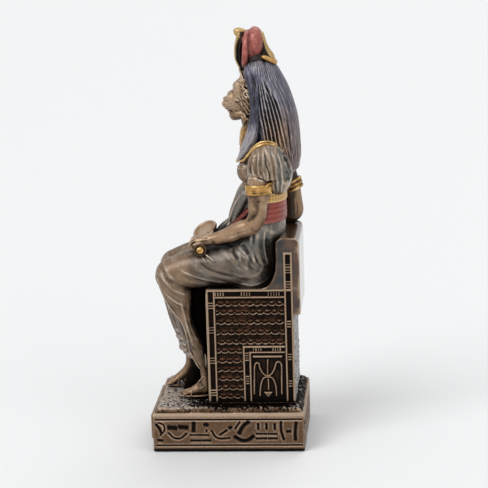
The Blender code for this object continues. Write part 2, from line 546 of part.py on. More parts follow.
def make_throne(group, guides, material):
    bm = bmesh.new()
    add_box(bm, (-THRONE_WIDTH / 2, THRONE_FRONT, FIGURE_BASE), (THRONE_WIDTH / 2, THRONE_BACK, SEAT_TOP))
    throne = finish_object("goddess_enthroned", bm, group, material)
    bm = bmesh.new()
    add_prism(bm, back_outline(), THRONE_WIDTH / 2)
    back = finish_object("back_rest", bm, guides)
    bm = bmesh.new()
    for side in (-1, 1):
        add_side_relief(bm, side)
    relief = finish_object("throne_relief", bm, guides)
    make_guide(back)
    make_guide(relief)
    add_boolean(throne, back, "UNION")
    add_boolean(throne, relief, "UNION", overlapping=True)
    return throne


# Plinth, in metres.

def make_plinth(group, guides, material):
    bm = bmesh.new()
    add_box(bm, (-PLINTH_WIDTH / 2, -PLINTH_LENGTH / 2, 0.0),
            (PLINTH_WIDTH / 2, PLINTH_LENGTH / 2, PLINTH_HEIGHT))
    bmesh.ops.bevel(bm, geom=bm.edges[:], offset=PLINTH_EDGE, segments=1, profile=0.5,
                    affect="EDGES", material=-1)
    plinth = finish_object("plinth", bm, group, material)

    bm = bmesh.new()
    rim = PLINTH_EDGE + GROUND_SLOPE * 0.2
    half_width = PLINTH_WIDTH / 2 - rim
    half_length = PLINTH_LENGTH / 2 - rim
    add_box(bm, (-half_width, -half_length, PLINTH_HEIGHT / 2), (half_width, half_length, GROUND_TOP))
    top = [v for v in bm.verts if v.co.z > PLINTH_HEIGHT]
    shrink = Matrix.Diagonal((1 - GROUND_SLOPE / half_width, 1 - GROUND_SLOPE / half_length, 1.0, 1.0))
    bmesh.ops.transform(bm, matrix=shrink, verts=top)
    rows = int(PLINTH_LENGTH / GROUND_CELL)
    for step in range(1, rows):
        for axis, half in ((0, half_width), (1, half_length)):
            plane_at = -half + 2 * half * step / rows
            centre = [0.0, 0.0, 0.0]
            normal = [0.0, 0.0, 0.0]
            centre[axis] = plane_at
            normal[axis] = 1.0
            faces = [f for f in bm.faces if f.normal.z > 0.3]
            edges = {e for f in faces for e in f.edges}
            verts = {v for f in faces for v in f.verts}
            bmesh.ops.bisect_plane(bm, geom=faces + list(edges) + list(verts),
                                   plane_co=centre, plane_no=normal)
    for vert in bm.verts:
        if vert.co.z > PLINTH_HEIGHT + GROUND_RISE / 2:
            wave = math.sin(vert.co.x * 5100) * math.cos(vert.co.y * 4300 + vert.co.x * 2700)
            vert.co.z -= GROUND_ROUGHNESS * (1 + wave)
    bmesh.ops.triangulate(bm, faces=bm.faces)
    ground = finish_object("plinth_ground", bm, guides)

    bm = bmesh.new()
    panel_front = -PLINTH_LENGTH / 2 - PANEL_THICKNESS
    add_box(bm, (-PLINTH_WIDTH / 2 + PANEL_MARGIN, panel_front, PANEL_MARGIN),
            (PLINTH_WIDTH / 2 - PANEL_MARGIN, 0.0, PLINTH_HEIGHT - PANEL_TOP_GAP))
    panel = finish_object("plinth_panel", bm, guides)
    for part in (ground, panel):
        make_guide(part)
        add_boolean(plinth, part, "UNION")

    bm = bmesh.new()
    for turn, half_span, half_depth in ((0, PLINTH_LENGTH / 2, PLINTH_WIDTH / 2),
                                        (2, PLINTH_LENGTH / 2, PLINTH_WIDTH / 2),
                                        (1, PLINTH_WIDTH / 2, PLINTH_LENGTH / 2)):
        first = len(bm.verts)
        add_face_cuts(bm, half_span, half_depth)
        bm.verts.ensure_lookup_table()
        bmesh.ops.rotate(bm, cent=(0, 0, 0), matrix=Matrix.Rotation(turn * math.pi / 2, 3, "Z"),
                         verts=bm.verts[first:])
    cuts = finish_object("plinth_cuts", bm, guides)
    make_guide(cuts)
    add_boolean(plinth, cuts, "DIFFERENCE")
    return plinth


def add_face_cuts(bm, half_span, half_depth):
    """Two border lines and a row of plain strokes, on the face at +X."""
    low = BORDER_MARGIN
    high = PLINTH_HEIGHT - BORDER_MARGIN
    span = half_span - PLINTH_EDGE - BORDER_LINE
    for height in (low, high):
        add_box(bm, (half_depth - BORDER_CUT, -span, height - BORDER_LINE / 2),
                (half_depth + BORDER_CUT, span, height + BORDER_LINE / 2))
    count = int(2 * (half_span - STROKE_END_MARGIN) / STROKE_PITCH)
    clear = 2 * STROKE_WIDTH
    for index in range(count + 1):
        y = (index - count / 2) * STROKE_PITCH
        tall = high - low - 2 * clear
        share = 0.55 + 0.45 * math.sin(index * 2.3) ** 2
        bottom = low + clear + tall * (1 - share) / 2
        add_box(bm, (half_depth - STROKE_CUT, y - STROKE_WIDTH / 2, bottom),
                (half_depth + STROKE_CUT, y + STROKE_WIDTH / 2, bottom + tall * share))


def main():
    clear_scene()
    group = make_collection(COLLECTION_NAME)
    guides = make_collection("guides")
    bronze = make_material("bronze_resin", (0.20, 0.12, 0.07), 0.45, 0.55)
    stone = make_material("plinth_bronze_resin", (0.24, 0.15, 0.09), 0.5, 0.5)
    make_plinth(group, guides, stone)
    throne = make_throne(group, guides, bronze)
    figure = make_figure(guides, bronze)
    make_guide(figure)
    add_boolean(throne, figure, "UNION", overlapping=True)


main()
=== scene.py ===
import math

import bmesh
import bpy
import numpy as np
from mathutils import Matrix, Vector


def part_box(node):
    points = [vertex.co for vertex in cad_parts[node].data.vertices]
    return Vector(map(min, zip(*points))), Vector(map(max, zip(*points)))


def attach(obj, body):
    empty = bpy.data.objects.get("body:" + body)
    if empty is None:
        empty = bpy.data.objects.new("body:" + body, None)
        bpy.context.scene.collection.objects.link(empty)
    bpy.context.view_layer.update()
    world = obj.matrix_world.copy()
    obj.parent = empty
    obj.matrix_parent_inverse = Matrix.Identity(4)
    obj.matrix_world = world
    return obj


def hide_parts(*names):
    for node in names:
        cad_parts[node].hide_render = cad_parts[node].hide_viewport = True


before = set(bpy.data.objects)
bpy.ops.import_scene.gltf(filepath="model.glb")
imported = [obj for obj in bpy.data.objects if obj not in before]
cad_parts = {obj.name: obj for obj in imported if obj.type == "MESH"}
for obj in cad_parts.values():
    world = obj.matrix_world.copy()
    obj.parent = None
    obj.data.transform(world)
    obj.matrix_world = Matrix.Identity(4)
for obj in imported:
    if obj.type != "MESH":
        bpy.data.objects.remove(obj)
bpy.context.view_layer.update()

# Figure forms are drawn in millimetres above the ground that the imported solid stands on
mm = 0.001
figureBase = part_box("goddess_enthroned")[0].z
coarse = 1.32  # widens every mesh cell, to keep the whole under a million triangles
gridToWorld = Matrix.Translation((0, 0, figureBase)) @ Matrix.Scale(mm, 4)


# Shader maths

class Wire:
    # one output socket, so that sums of sockets read as sums
    def __init__(self, tree, socket=None):
        self.tree = tree
        self.socket = socket

    def add(self, kind, settings, inputs, output=0):
        node = self.tree.nodes.new(kind)
        for name, value in settings.items():
            setattr(node, name, value)
        for name, value in inputs.items():
            if isinstance(value, Wire):
                self.tree.links.new(value.socket, node.inputs[name])
            else:
                node.inputs[name].default_value = value
        return Wire(self.tree, node.outputs[output])

    def calc(self, operation, *values, clamp=False):
        settings = {"operation": operation, "use_clamp": clamp}
        return self.add("ShaderNodeMath", settings, dict(enumerate(values)))

    def __add__(self, other):
        return self.calc("ADD", self, other)

    def __sub__(self, other):
        return self.calc("SUBTRACT", self, other)

    def __rsub__(self, other):
        return self.calc("SUBTRACT", other, self)

    def __mul__(self, other):
        return self.calc("MULTIPLY", self, other)

    def clamped(self):
        return self.calc("ADD", self, 0, clamp=True)

    def mixed(self, low, high):  # this wire goes from the low colour to the high one
        return self.add("ShaderNodeMix", {"data_type": "RGBA"}, {0: self, 6: low, 7: high}, 2)


def rgb(red, green, blue):  # a screen colour, 0 to 255, as linear light
    return tuple((c / 255 / 12.92) if c < 10 else ((c / 255 + 0.055) / 1.055) ** 2.4
                 for c in (red, green, blue)) + (1,)


# what a paint has unless its own dictionary says otherwise; near and broad are two widths of shade
usual = {"nearby": 1.8, "broadly": 8, "nearGain": 0.9, "broadGain": 0.55, "washGain": 2.8, "washAndShadeBias": -0.06,
         "ridgeFrom": 0.54, "ridgeGain": 3.2, "mottle": 1.4, "mottleScale": 420, "speck": 1.3,
         "speckScale": 2800, "bump": 0.4, "specular": 0.25, "coat": 0.25, "coatRoughness": 0.2}


def makePaint(name, own):
    # base paint, a dark wash that stays in the hollows with painted shade from near and broad occlusion, and
    # a dry-brushed light on the ridges
    look = {**usual, **own}
    look = {key: rgb(*value) if isinstance(value, tuple) else value for key, value in look.items()}
    material = bpy.data.materials.new(name)
    material.use_nodes = True
    tree = material.node_tree
    tree.nodes.clear()
    start = Wire(tree)

    def shade(distance, samples):
        reach = {"Distance": distance * mm}
        return start.add("ShaderNodeAmbientOcclusion", {"samples": samples}, reach, "AO")

    def noise(where, scale, detail, roughness):
        return start.add("ShaderNodeTexNoise", {}, {"Vector": where, "Scale": scale, "Detail": detail,
                                                    "Roughness": roughness})

    def painted(attribute):
        return start.add("ShaderNodeAttribute", {"attribute_name": attribute}, {}, "Fac")

    place = start.add("ShaderNodeTexCoord", {}, {}, "Object")
    relief = painted("washAndShading")
    near = shade(look["nearby"], 8)
    broad = shade(look["broadly"], 6)
    mottle = noise(place, look["mottleScale"], 5, 0.65)
    speckPlace = place
    if "grain" in look:  # streaks that run down the locks
        split = start.add("ShaderNodeSeparateXYZ", {}, {"Vector": place}).socket.node
        x, y, z = [Wire(tree, socket) for socket in split.outputs]
        speckPlace = start.add("ShaderNodeCombineXYZ", {}, {"X": x, "Y": y + z * look["grain"], "Z": z * 0.1})
    speck = noise(speckPlace, look["speckScale"], 3, 0.7)
    tone = (mottle - 0.5) * look["mottle"]
    fleck = (speck - 0.5) * look["speck"]
    # hollow is the dark wash together with painted shade, where occlusion darkens creases, recesses and gaps
    # between parts
    hollow = ((0.5 - relief) * look["washGain"] + (1.0 - near) * look["nearGain"]
              + (1.0 - broad) * look["broadGain"] + tone * 0.5 + fleck * 0.5 + look["washAndShadeBias"]).clamped()
    ridge = ((relief - look["ridgeFrom"]) * look["ridgeGain"] + fleck + tone * 0.6).clamped() * (1.0 - hollow)
    body = (tone * 1.3 + fleck * 0.4 + 0.5).clamped().mixed(look["base"], look["second"])
    light = look["light"]
    # on the cobra and the crown base the second paint is painted shade
    if "patches" in look:  # a second paint, where the piece says
        patch = painted("patch")
        body = patch.mixed(body, look["patches"])
        light = patch.mixed(light, look.get("patchLight", light))
    colour = hollow.mixed(ridge.mixed(body, light), look["dark"])
    bump = start.add("ShaderNodeBump", {}, {"Strength": look["bump"], "Distance": 0.06 * mm,
                                            "Height": speck + mottle})
    shader = start.add("ShaderNodeBsdfPrincipled", {}, {
        "Base Color": colour, "Roughness": (fleck * 0.12 + hollow * 0.22 + look["roughness"]).clamped(),
        "Metallic": (1.0 - hollow * 0.8) * look["metallic"], "Normal": bump,
        "Specular IOR Level": look["specular"], "Coat Weight": look["coat"],
        "Coat Roughness": look["coatRoughness"]})
    output = tree.nodes.new("ShaderNodeOutputMaterial")
    tree.links.new(shader.socket, output.inputs["Surface"])
    return material


# Mesh helpers

def curveThrough(points, steps):  # a Catmull-Rom curve through rows of numbers
    rows = np.array(points, dtype=float)
    out = []
    for i in range(len(rows) - 1):
        before = rows[max(i - 1, 0)]
        start = rows[i]
        end = rows[i + 1]
        after = rows[min(i + 2, len(rows) - 1)]
        for part in range(steps):
            t = part / steps
            out.append(0.5 * (2 * start + (end - before) * t
                              + (2 * before - 5 * start + 4 * end - after) * t * t
                              + (3 * start - before - 3 * end + after) * t ** 3))
    out.append(rows[-1])
    return np.array(out)


def ringMatrix(stations, index):  # a unit ring across the path at one station
    here = stations[index]
    along = Vector(stations[min(index + 1, len(stations) - 1)][:3]) - Vector(stations[max(index - 1, 0)][:3])
    along.normalize()
    side = Vector((0, 1, 0)) if abs(along.x) > 0.8 else Vector((1, 0, 0))
    side = (side - along * side.dot(along)).normalized()
    turn = Matrix((side, along.cross(side), along)).transposed().to_4x4()
    return Matrix.Translation(Vector(here[:3])) @ turn @ Matrix.Diagonal((here[3], here[4], 1, 1))


def addLoft(bm, stations, sides=24, steps=4, shape=None):  # stations are x, y, z, side radius, depth radius
    stations = curveThrough(stations, steps)
    loops = []
    for index in range(len(stations)):
        ring = bmesh.ops.create_circle(bm, cap_ends=False, segments=sides, radius=1, matrix=Matrix())["verts"]
        if shape:
            for vert in ring:
                vert.co *= shape(math.atan2(vert.co.y, vert.co.x), index / (len(stations) - 1))
        bmesh.ops.transform(bm, matrix=ringMatrix(stations, index), verts=ring)
        loops.append(list({edge for vert in ring for edge in vert.link_edges}))
    for first, second in zip(loops, loops[1:]):
        bmesh.ops.bridge_loops(bm, edges=first + second)
    bmesh.ops.contextual_create(bm, geom=loops[0])
    bmesh.ops.contextual_create(bm, geom=loops[-1])


def addBall(bm, centre, radii):
    matrix = Matrix.Translation(Vector(centre)) @ Matrix.Diagonal((*radii, 1))
    bmesh.ops.create_uvsphere(bm, u_segments=32, v_segments=20, radius=1.0, matrix=matrix)


def addStrand(bm, points, radius, tip=0.35, sides=10, steps=4):  # a tapered ridge, cord or lock
    last = len(points) - 1
    swell = [tip + (1 - tip) * math.sin(math.pi * i / last) for i in range(last + 1)]
    addLoft(bm, [(*p, radius * s, radius * s) for p, s in zip(points, swell)], sides, steps)


def addRing(bm, centre, radii, thick, turn=Matrix(), count=40, sides=12):  # a closed hoop in its own plane
    angles = [i * math.tau / count for i in range(count)]
    hoop = [Vector((radii[0] * math.cos(angle), radii[1] * math.sin(angle), 0)) for angle in angles]
    rings = []
    for i, point in enumerate(hoop):
        along = (hoop[(i + 1) % count] - hoop[i - 1]).normalized()
        out = along.cross(Vector((0, 0, 1)))
        matrix = Matrix.Translation(point) @ Matrix((out, Vector((0, 0, 1)), along)).transposed().to_4x4()
        matrix = Matrix.Translation(Vector(centre)) @ turn @ matrix
        ring = bmesh.ops.create_circle(bm, segments=sides, radius=thick, matrix=matrix)["verts"]
        rings.append(list({edge for vert in ring for edge in vert.link_edges}))
    for first, second in zip(rings, rings[1:] + rings[:1]):
        bmesh.ops.bridge_loops(bm, edges=first + second)


def flip(points):  # the same rows on the other side of the figure
    return [(-p[0], *p[1:]) for p in points]


def toObject(name, bm, matrix=gridToWorld):
    bmesh.ops.transform(bm, matrix=matrix, verts=bm.verts)
    bmesh.ops.recalc_face_normals(bm, faces=bm.faces)
    mesh = bpy.data.meshes.new(name)
    bm.to_mesh(mesh)
    bm.free()
    obj = bpy.data.objects.new(name, mesh)
    bpy.context.scene.collection.objects.link(obj)
    return obj


def fuse(name, bm, cell, relax=2):  # overlapping forms become one even skin
    obj = toObject(name, bm)
    skin = obj.modifiers.new("skin", "REMESH")
    skin.mode = "VOXEL"
    skin.voxel_size = cell * coarse * mm
    soft = obj.modifiers.new("soft", "SMOOTH")
    soft.factor = 0.5
    soft.iterations = relax
    bpy.context.view_layer.update()
    graph = bpy.context.evaluated_depsgraph_get()
    mesh = bpy.data.meshes.new_from_object(obj.evaluated_get(graph))
    obj.modifiers.clear()
    rough = obj.data
    obj.data = mesh
    bpy.data.meshes.remove(rough)
    mesh.name = name
    return obj


def readMesh(obj):  # points in grid millimetres, and normals
    count = len(obj.data.vertices)
    place = np.empty(count * 3)
    normal = np.empty(count * 3)
    obj.data.vertices.foreach_get("co", place)
    obj.data.vertices.foreach_get("normal", normal)
    place = (place.reshape(-1, 3) - (0, 0, figureBase)) / mm
    return place, normal.reshape(-1, 3)


def writeMesh(obj, place):
    world = place * mm + (0, 0, figureBase)
    obj.data.vertices.foreach_set("co", world.ravel())
    obj.data.update()


# the two axes that each view shows, and the way it looks from
views = {
    "left": ([1, 2], (1, 0, 0)), "right": ([1, 2], (-1, 0, 0)), "top": ([0, 1], (0, 0, 1)),
    "front": ([0, 2], (0, -1, 0)), "back": ([0, 2], (0, 1, 0))}


def sculpt(obj, strokes):
    # a stroke is (view, points, width, depth): it raises or cuts the side that faces the view
    reach = 3  # widths past which a stroke has no effect
    turned = 0.05  # the least that a face has to look towards the view
    place, normal = readMesh(obj)
    for view, points, width, depth in strokes:
        axes, facing = views[view]
        flat = place[:, axes]
        face = normal @ np.array(facing)
        rows = np.array(points, dtype=float)
        length = np.linalg.norm(np.diff(rows, axis=0), axis=1).sum()
        path = curveThrough(points, max(2, int(length / (len(points) - 1) / (0.4 * width)) + 1))
        low = path.min(0) - reach * width
        high = path.max(0) + reach * width
        inside = ((flat > low) & (flat < high)).all(1) & (face > turned)
        if view in ("left", "right"):  # nothing past the middle of the figure
            inside &= place[:, 0] * facing[0] > -0.3
        near = np.where(inside)[0]
        if not len(near):
            continue
        gap = ((flat[near][:, None] - path[None]) ** 2).sum(2)
        share = gap.argmin(1) / (len(path) - 1)
        swell = np.clip(np.minimum(share, 1 - share) * 6 + 0.2, 0, 1)
        push = depth * swell * np.exp(-gap.min(1) / width ** 2) * np.clip(face[near] * 2.5, 0, 1)
        place[near] += normal[near] * push[:, None]
    writeMesh(obj, place)


def bothSides(strokes):  # the left side's strokes and the same on the right
    return strokes + [("right", *stroke[1:]) for stroke in strokes if stroke[0] == "left"]


def markWashAndShading(obj, reach, gain, tone=0, lift=0.07):
    # below 0.5 in the hollows and above it on the ridges, with a painted top light where the piece faces up;
    # tone adds each piece's own marks, painted shade among them
    place, normal = readMesh(obj)
    count = len(place)
    pairs = np.empty(len(obj.data.edges) * 2, dtype=np.int32)
    obj.data.edges.foreach_get("vertices", pairs)
    one, two = pairs.reshape(-1, 2).T
    links = np.maximum(np.bincount(pairs, minlength=count), 1)
    soft = place.copy()
    for turn in range(round(reach / coarse ** 2)):  # a wider cell needs fewer turns
        total = np.stack([np.bincount(one, weights=soft[two, axis], minlength=count)
                          + np.bincount(two, weights=soft[one, axis], minlength=count)
                          for axis in range(3)], 1)
        soft = 0.5 * soft + 0.5 * total / links[:, None]
    hollow = ((soft - place) * normal).sum(1)
    value = 0.5 - hollow * gain + lift * normal[:, 2] + tone
    setAttribute(obj, "washAndShading", np.clip(value, 0, 1))


def setAttribute(obj, name, values):
    layer = obj.data.attributes.get(name) or obj.data.attributes.new(name, "FLOAT", "POINT")
    layer.data.foreach_set("value", values.astype(np.float32))


def settle(obj, material, slot="bronze_resin"):  # finish, shading and its place in the frame
    obj.data.materials.clear()
    obj.data.materials.append(material)
    obj.data.shade_smooth()
    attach(obj, "root")
    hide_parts("plinth" if slot == "plinth_resin" else "goddess_enthroned")
    print("made", obj.name, len(obj.data.polygons), "faces")


def step(low, high, value):  # a smooth step from 0 to 1
    t = np.clip((value - low) / (high - low), 0, 1)
    return t * t * (3 - 2 * t)


def bar(u, v, uLow, uHigh, vLow, vHigh, soft=0.12):  # 1 inside a soft-edged rectangle
    return (step(uLow - soft, uLow + soft, u) * (1 - step(uHigh - soft, uHigh + soft, u))
            * step(vLow - soft, vLow + soft, v) * (1 - step(vHigh - soft, vHigh + soft, v)))


def lineOn(u, v, points, width):  # 1 along a drawn line, falling off sideways
    path = curveThrough(points, 12)
    out = np.zeros_like(u)
    low = path.min(0) - 3 * width
    high = path.max(0) + 3 * width
    near = (u > low[0]) & (u < high[0]) & (v > low[1]) & (v < high[1])
    gap = (u[near][:, None] - path[None, :, 0]) ** 2 + (v[near][:, None] - path[None, :, 1]) ** 2
    out[near] = np.exp(-gap.min(1) / width ** 2)
    return out


def lattice(u, v, cell, seed):  # smooth random hills of one size
    count = 97
    shift = 40  # keeps every place above zero
    hills = np.random.default_rng(seed).random((count, count))
    x = (u + shift) / cell
    y = (v + shift) / cell
    i = np.floor(x).astype(int)
    j = np.floor(y).astype(int)
    s = step(0, 1, x - i)
    t = step(0, 1, y - j)
    rows = [hills[i % count, k % count] * (1 - s) + hills[(i + 1) % count, k % count] * s for k in (j, j + 1)]
    return rows[0] * (1 - t) + rows[1] * t


def between(first, last, count):  # lines that pass evenly from one drawn line to another
    one = curveThrough(first, 8)
    two = curveThrough(last, 8)
    grid = np.linspace(0, 1, 7)
    one = np.stack([np.interp(grid, np.linspace(0, 1, len(one)), one[:, axis]) for axis in (0, 1)], 1)
    two = np.stack([np.interp(grid, np.linspace(0, 1, len(two)), two[:, axis]) for axis in (0, 1)], 1)
    return [(one + (two - one) * i / (count - 1)).tolist() for i in range(count)]


def pleats(view, first, last, count, width, depth):  # uneven folds and the hollows between them
    lines = between(first, last, 2 * count - 1)
    return [(view, line, width * (1 + 0.4 * math.sin(1.7 * i + count)),
             depth * (0.8 + 0.6 * math.sin(2.6 * i + count)) * (-1) ** i) for i, line in enumerate(lines)]


# Paints

bronze = makePaint("bronzePaint", {
    "base": (160, 130, 101), "second": (126, 98, 72), "light": (206, 186, 164), "dark": (50, 30, 12),
    "metallic": 0.4, "roughness": 0.38, "ridgeFrom": 0.56, "mottle": 2.2, "mottleScale": 300.0})
throneBronze = makePaint("throneBronze", {
    "base": (92, 60, 40), "second": (54, 34, 21), "light": (160, 138, 116), "dark": (6, 2, 0),
    "metallic": 0.35, "roughness": 0.42, "nearby": 0.8, "nearGain": 1, "broadGain": 0.2, "ridgeFrom": 0.6,
    "specular": 0.05, "coat": 0.05, "mottle": 1.6, "speck": 1.8})
plinthBronze = makePaint("plinthBronze", {
    "base": (106, 81, 60), "second": (74, 53, 38), "light": (168, 145, 124), "dark": (5, 1, 0),
    "metallic": 0.3, "roughness": 0.42, "washGain": 5, "nearby": 0.8, "nearGain": 0.5, "broadGain": 0.15,
    "specular": 0.06, "coat": 0.06, "patches": (182, 175, 169), "speck": 1.6})
wigPaint = makePaint("wigPaint", {
    "base": (96, 95, 113), "second": (70, 70, 86), "light": (156, 150, 153), "dark": (10, 8, 10),
    "metallic": 0.25, "roughness": 0.38, "patches": (134, 106, 84), "patchLight": (172, 142, 118),
    "mottle": 1.5, "grain": 0.3, "speck": 2.4, "speckScale": 2400, "broadGain": 0.3, "ridgeFrom": 0.52})
dressPaint = makePaint("dressPaint", {
    "base": (136, 112, 90), "second": (88, 68, 48), "light": (192, 174, 156), "dark": (22, 13, 6),
    "metallic": 0.3, "roughness": 0.4, "patches": (104, 102, 96), "ridgeFrom": 0.58, "ridgeGain": 2.6,
    "mottle": 2, "mottleScale": 320.0})
goldPaint = makePaint("goldPaint", {
    "base": (196, 152, 86), "second": (164, 118, 54), "light": (232, 202, 142), "dark": (50, 28, 6),
    "metallic": 0.55, "roughness": 0.34, "ridgeFrom": 0.58})
redPaint = makePaint("redPaint", {
    "base": (166, 92, 82), "second": (136, 62, 52), "light": (200, 142, 130), "dark": (60, 16, 10),
    "metallic": 0.15, "roughness": 0.36, "mottle": 2, "ridgeFrom": 0.56, "speck": 2.2})
sashPaint = makePaint("sashPaint", {
    "base": (154, 70, 57), "second": (124, 50, 39), "light": (188, 122, 109), "dark": (50, 16, 11),
    "metallic": 0.15, "roughness": 0.4, "ridgeFrom": 0.54, "speck": 1.7})
backRestPaint = makePaint("backRestPaint", {
    "base": (88, 60, 38), "second": (54, 34, 20), "light": (172, 148, 122), "dark": (12, 6, 2),
    "metallic": 0.3, "roughness": 0.32, "nearby": 1.2, "specular": 0.3, "coat": 0.9, "coatRoughness": 0.07,
    "bump": 0.15, "ridgeFrom": 0.58})
shadowPaint = makePaint("shadowPaint", {
    "base": (30, 20, 13), "second": (16, 10, 6), "light": (58, 44, 34), "dark": (4, 2, 1), "metallic": 0.1,
    "roughness": 0.7, "specular": 0.02, "coat": 0.0})
# its dark second paint is painted shade
cobraPaint = makePaint("cobraPaint", {
    "base": (200, 168, 112), "second": (168, 132, 76), "light": (236, 216, 172), "dark": (24, 14, 6),
    "metallic": 0.45, "roughness": 0.36, "patches": (44, 31, 20), "ridgeFrom": 0.58})

print("paints ready")


# Head of a lioness

head = {
    "cell": 0.1, "layers": 4, "strands": 18, "seed": 4,
    # y, x and z along the edge of the face, where the mane starts
    "edge": [(3.3, 2.3, 66.4), (3.5, 2.7, 64.6), (3.55, 2.9, 62.6), (3.5, 2.85, 60.8), (3.4, 2.55, 59),
             (3.75, 2.25, 57.6), (4.5, 2, 56.4)]}


def makeHead():
    bm = bmesh.new()
    addBall(bm, (0, 6.6, 63.4), (3.6, 4.4, 4.3))
    addBall(bm, (0, 5.6, 66.5), (2.7, 2.2, 1.7))  # hair over the forehead
    addBall(bm, (0, 3.65, 64.55), (2.2, 1.8, 1.25))  # brow
    addLoft(bm, [
        (0, 6.2, 61.9, 3.4, 3.6), (0, 4.4, 61.9, 3, 3.1), (0, 3, 61.65, 2.65, 2.6), (0, 2.1, 61.5, 2.3, 2.3),
        (0, 1.4, 61.4, 2.05, 2.1), (0, 0.75, 61.35, 1.8, 1.75), (0, 0.2, 61.45, 1.45, 1.2),
        (0, -0.05, 61.6, 0.95, 0.7)])
    addBall(bm, (0, 0.25, 61.95), (0.78, 0.44, 0.42))  # nose pad
    addBall(bm, (0, 1.5, 59.45), (1.3, 0.75, 0.6))  # lower lip
    # chin and lower jaw
    addLoft(bm, [
        (0, 5.2, 58.9, 2.8, 1.6), (0, 3.8, 58.9, 2.6, 1.25), (0, 2.8, 58.85, 2.3, 1.35),
        (0, 2, 58.75, 1.9, 1.35), (0, 1.5, 58.85, 1.4, 1), (0, 1.15, 58.95, 0.8, 0.55)])
    for side in (-1, 1):
        addBall(bm, (side * 0.85, 0.95, 60.75), (0.95, 0.9, 1.15))  # whisker pads
        addBall(bm, (side * 1.5, 3.2, 61.5), (1.2, 2.9, 2.2))  # cheeks
        addBall(bm, (side * 1.5, 2.4, 63.5), (0.75, 0.5, 0.4))  # eyes
        addLoft(bm, [
            (side * 1.75, 3.6, 65.4, 0.9, 1), (side * 1.8, 3.4, 64.4, 1.1, 1.2),
            (side * 1.9, 3.4, 63.2, 1.2, 1.3), (side * 1.9, 3.5, 61.8, 1.3, 1.6)])
        addStrand(bm, [
            (side * 0.7, 1.95, 63.75), (side * 1.55, 1.9, 63.95), (side * 2.5, 2.8, 63.7)], 0.17, 0.6)
        addStrand(bm, [
            (side * 0.8, 1.9, 63.25), (side * 1.6, 1.95, 63.05), (side * 2.4, 2.8, 63.2)], 0.15, 0.6)
        addStrand(bm, [(side * 0.5, 2.2, 64.65), (side * 1.6, 2.5, 64.8), (side * 2.8, 3.65, 64.3)], 0.27)
        cup = Matrix.Rotation(math.radians(90), 4, "Y") @ Matrix.Rotation(math.radians(side * 12), 4, "X")
        addRing(bm, (side * 4.15, 5.05, 63.3), (0.58, 0.6), 0.2, cup, 28, 10)
        addBall(bm, (side * 3.9, 5.1, 63.3), (0.35, 0.6, 0.6))
        addBall(bm, (side * 2.1, 5.7, 61.2), (1.1, 1.8, 4.8))
        addStrand(bm, [(0, 3.4, 68), (side * 1.3, 3.55, 67.75), (side * 2.4, 4.05, 66.7),
                       (side * 3.3, 4.7, 65.3)], 0.24, 0.9)
    addLoft(bm, [
        (0, 6.8, 60, 3.2, 3), (0, 7.1, 57.4, 2.9, 2.8), (0, 6.8, 55, 2.9, 2.8), (0, 6.4, 51.5, 3.4, 3)])
    obj = fuse("lionessHead", bm, head["cell"], 6)
    sculpt(obj, bothSides([
        ("left", [(1.2, 59.4), (1.5, 59.55), (1.8, 59.75), (2.5, 59.7), (2.95, 59.4)], 0.11, -0.1),  # mouth
        ("left", [(1.72, 64.1), (1.95, 63.6), (2.15, 63.2), (2.7, 62.6)], 0.16, -0.06),
        ("left", [(0.15, 61.8), (0.5, 61.6), (0.85, 61.85)], 0.12, -0.14),  # nostril
        ("left", [(4.75, 63.1), (5.1, 63.5)], 0.28, -0.3),  # ear hollow
        ("left", [(0.6, 61), (1.3, 61.1), (2, 61.4)], 0.07, -0.05),
        ("left", [(0.7, 60.5), (1.4, 60.6), (2.1, 60.8)], 0.07, -0.05),
        ("left", [(2.6, 61.9), (3.1, 61.2), (3.9, 60.4)], 0.13, -0.1),
        ("left", [(3, 62.6), (3.5, 62.1), (4, 61.5)], 0.14, -0.16)])
        + [("front", [(0, 61.6), (0, 60.6), (0, 59.9)], 0.12, -0.2),
           ("front", [(-1.4, 59.5), (-0.7, 59.75), (0, 59.95), (0.7, 59.75), (1.4, 59.5)], 0.12, -0.1),
           ("front", [(-0.95, 63.6), (-1.6, 63.6), (-2.3, 63.5)], 0.09, -0.1),
           ("front", [(0.95, 63.6), (1.6, 63.6), (2.3, 63.5)], 0.09, -0.1)])
    x, y, z = readMesh(obj)[0].T
    eyes = np.exp(-(((y - 2.2) / 0.9) ** 2 + ((z - 63.8) / 0.7) ** 2))
    fur = lattice(y * 2 + z, z, 0.5, 44) - 0.5
    markWashAndShading(obj, 10, 5.5, tone=0.07 + 0.02 * eyes - 0.16 * (1 - step(59, 59.6, z)) * (y < 3.6) + 0.12 * fur)
    settle(obj, bronze)

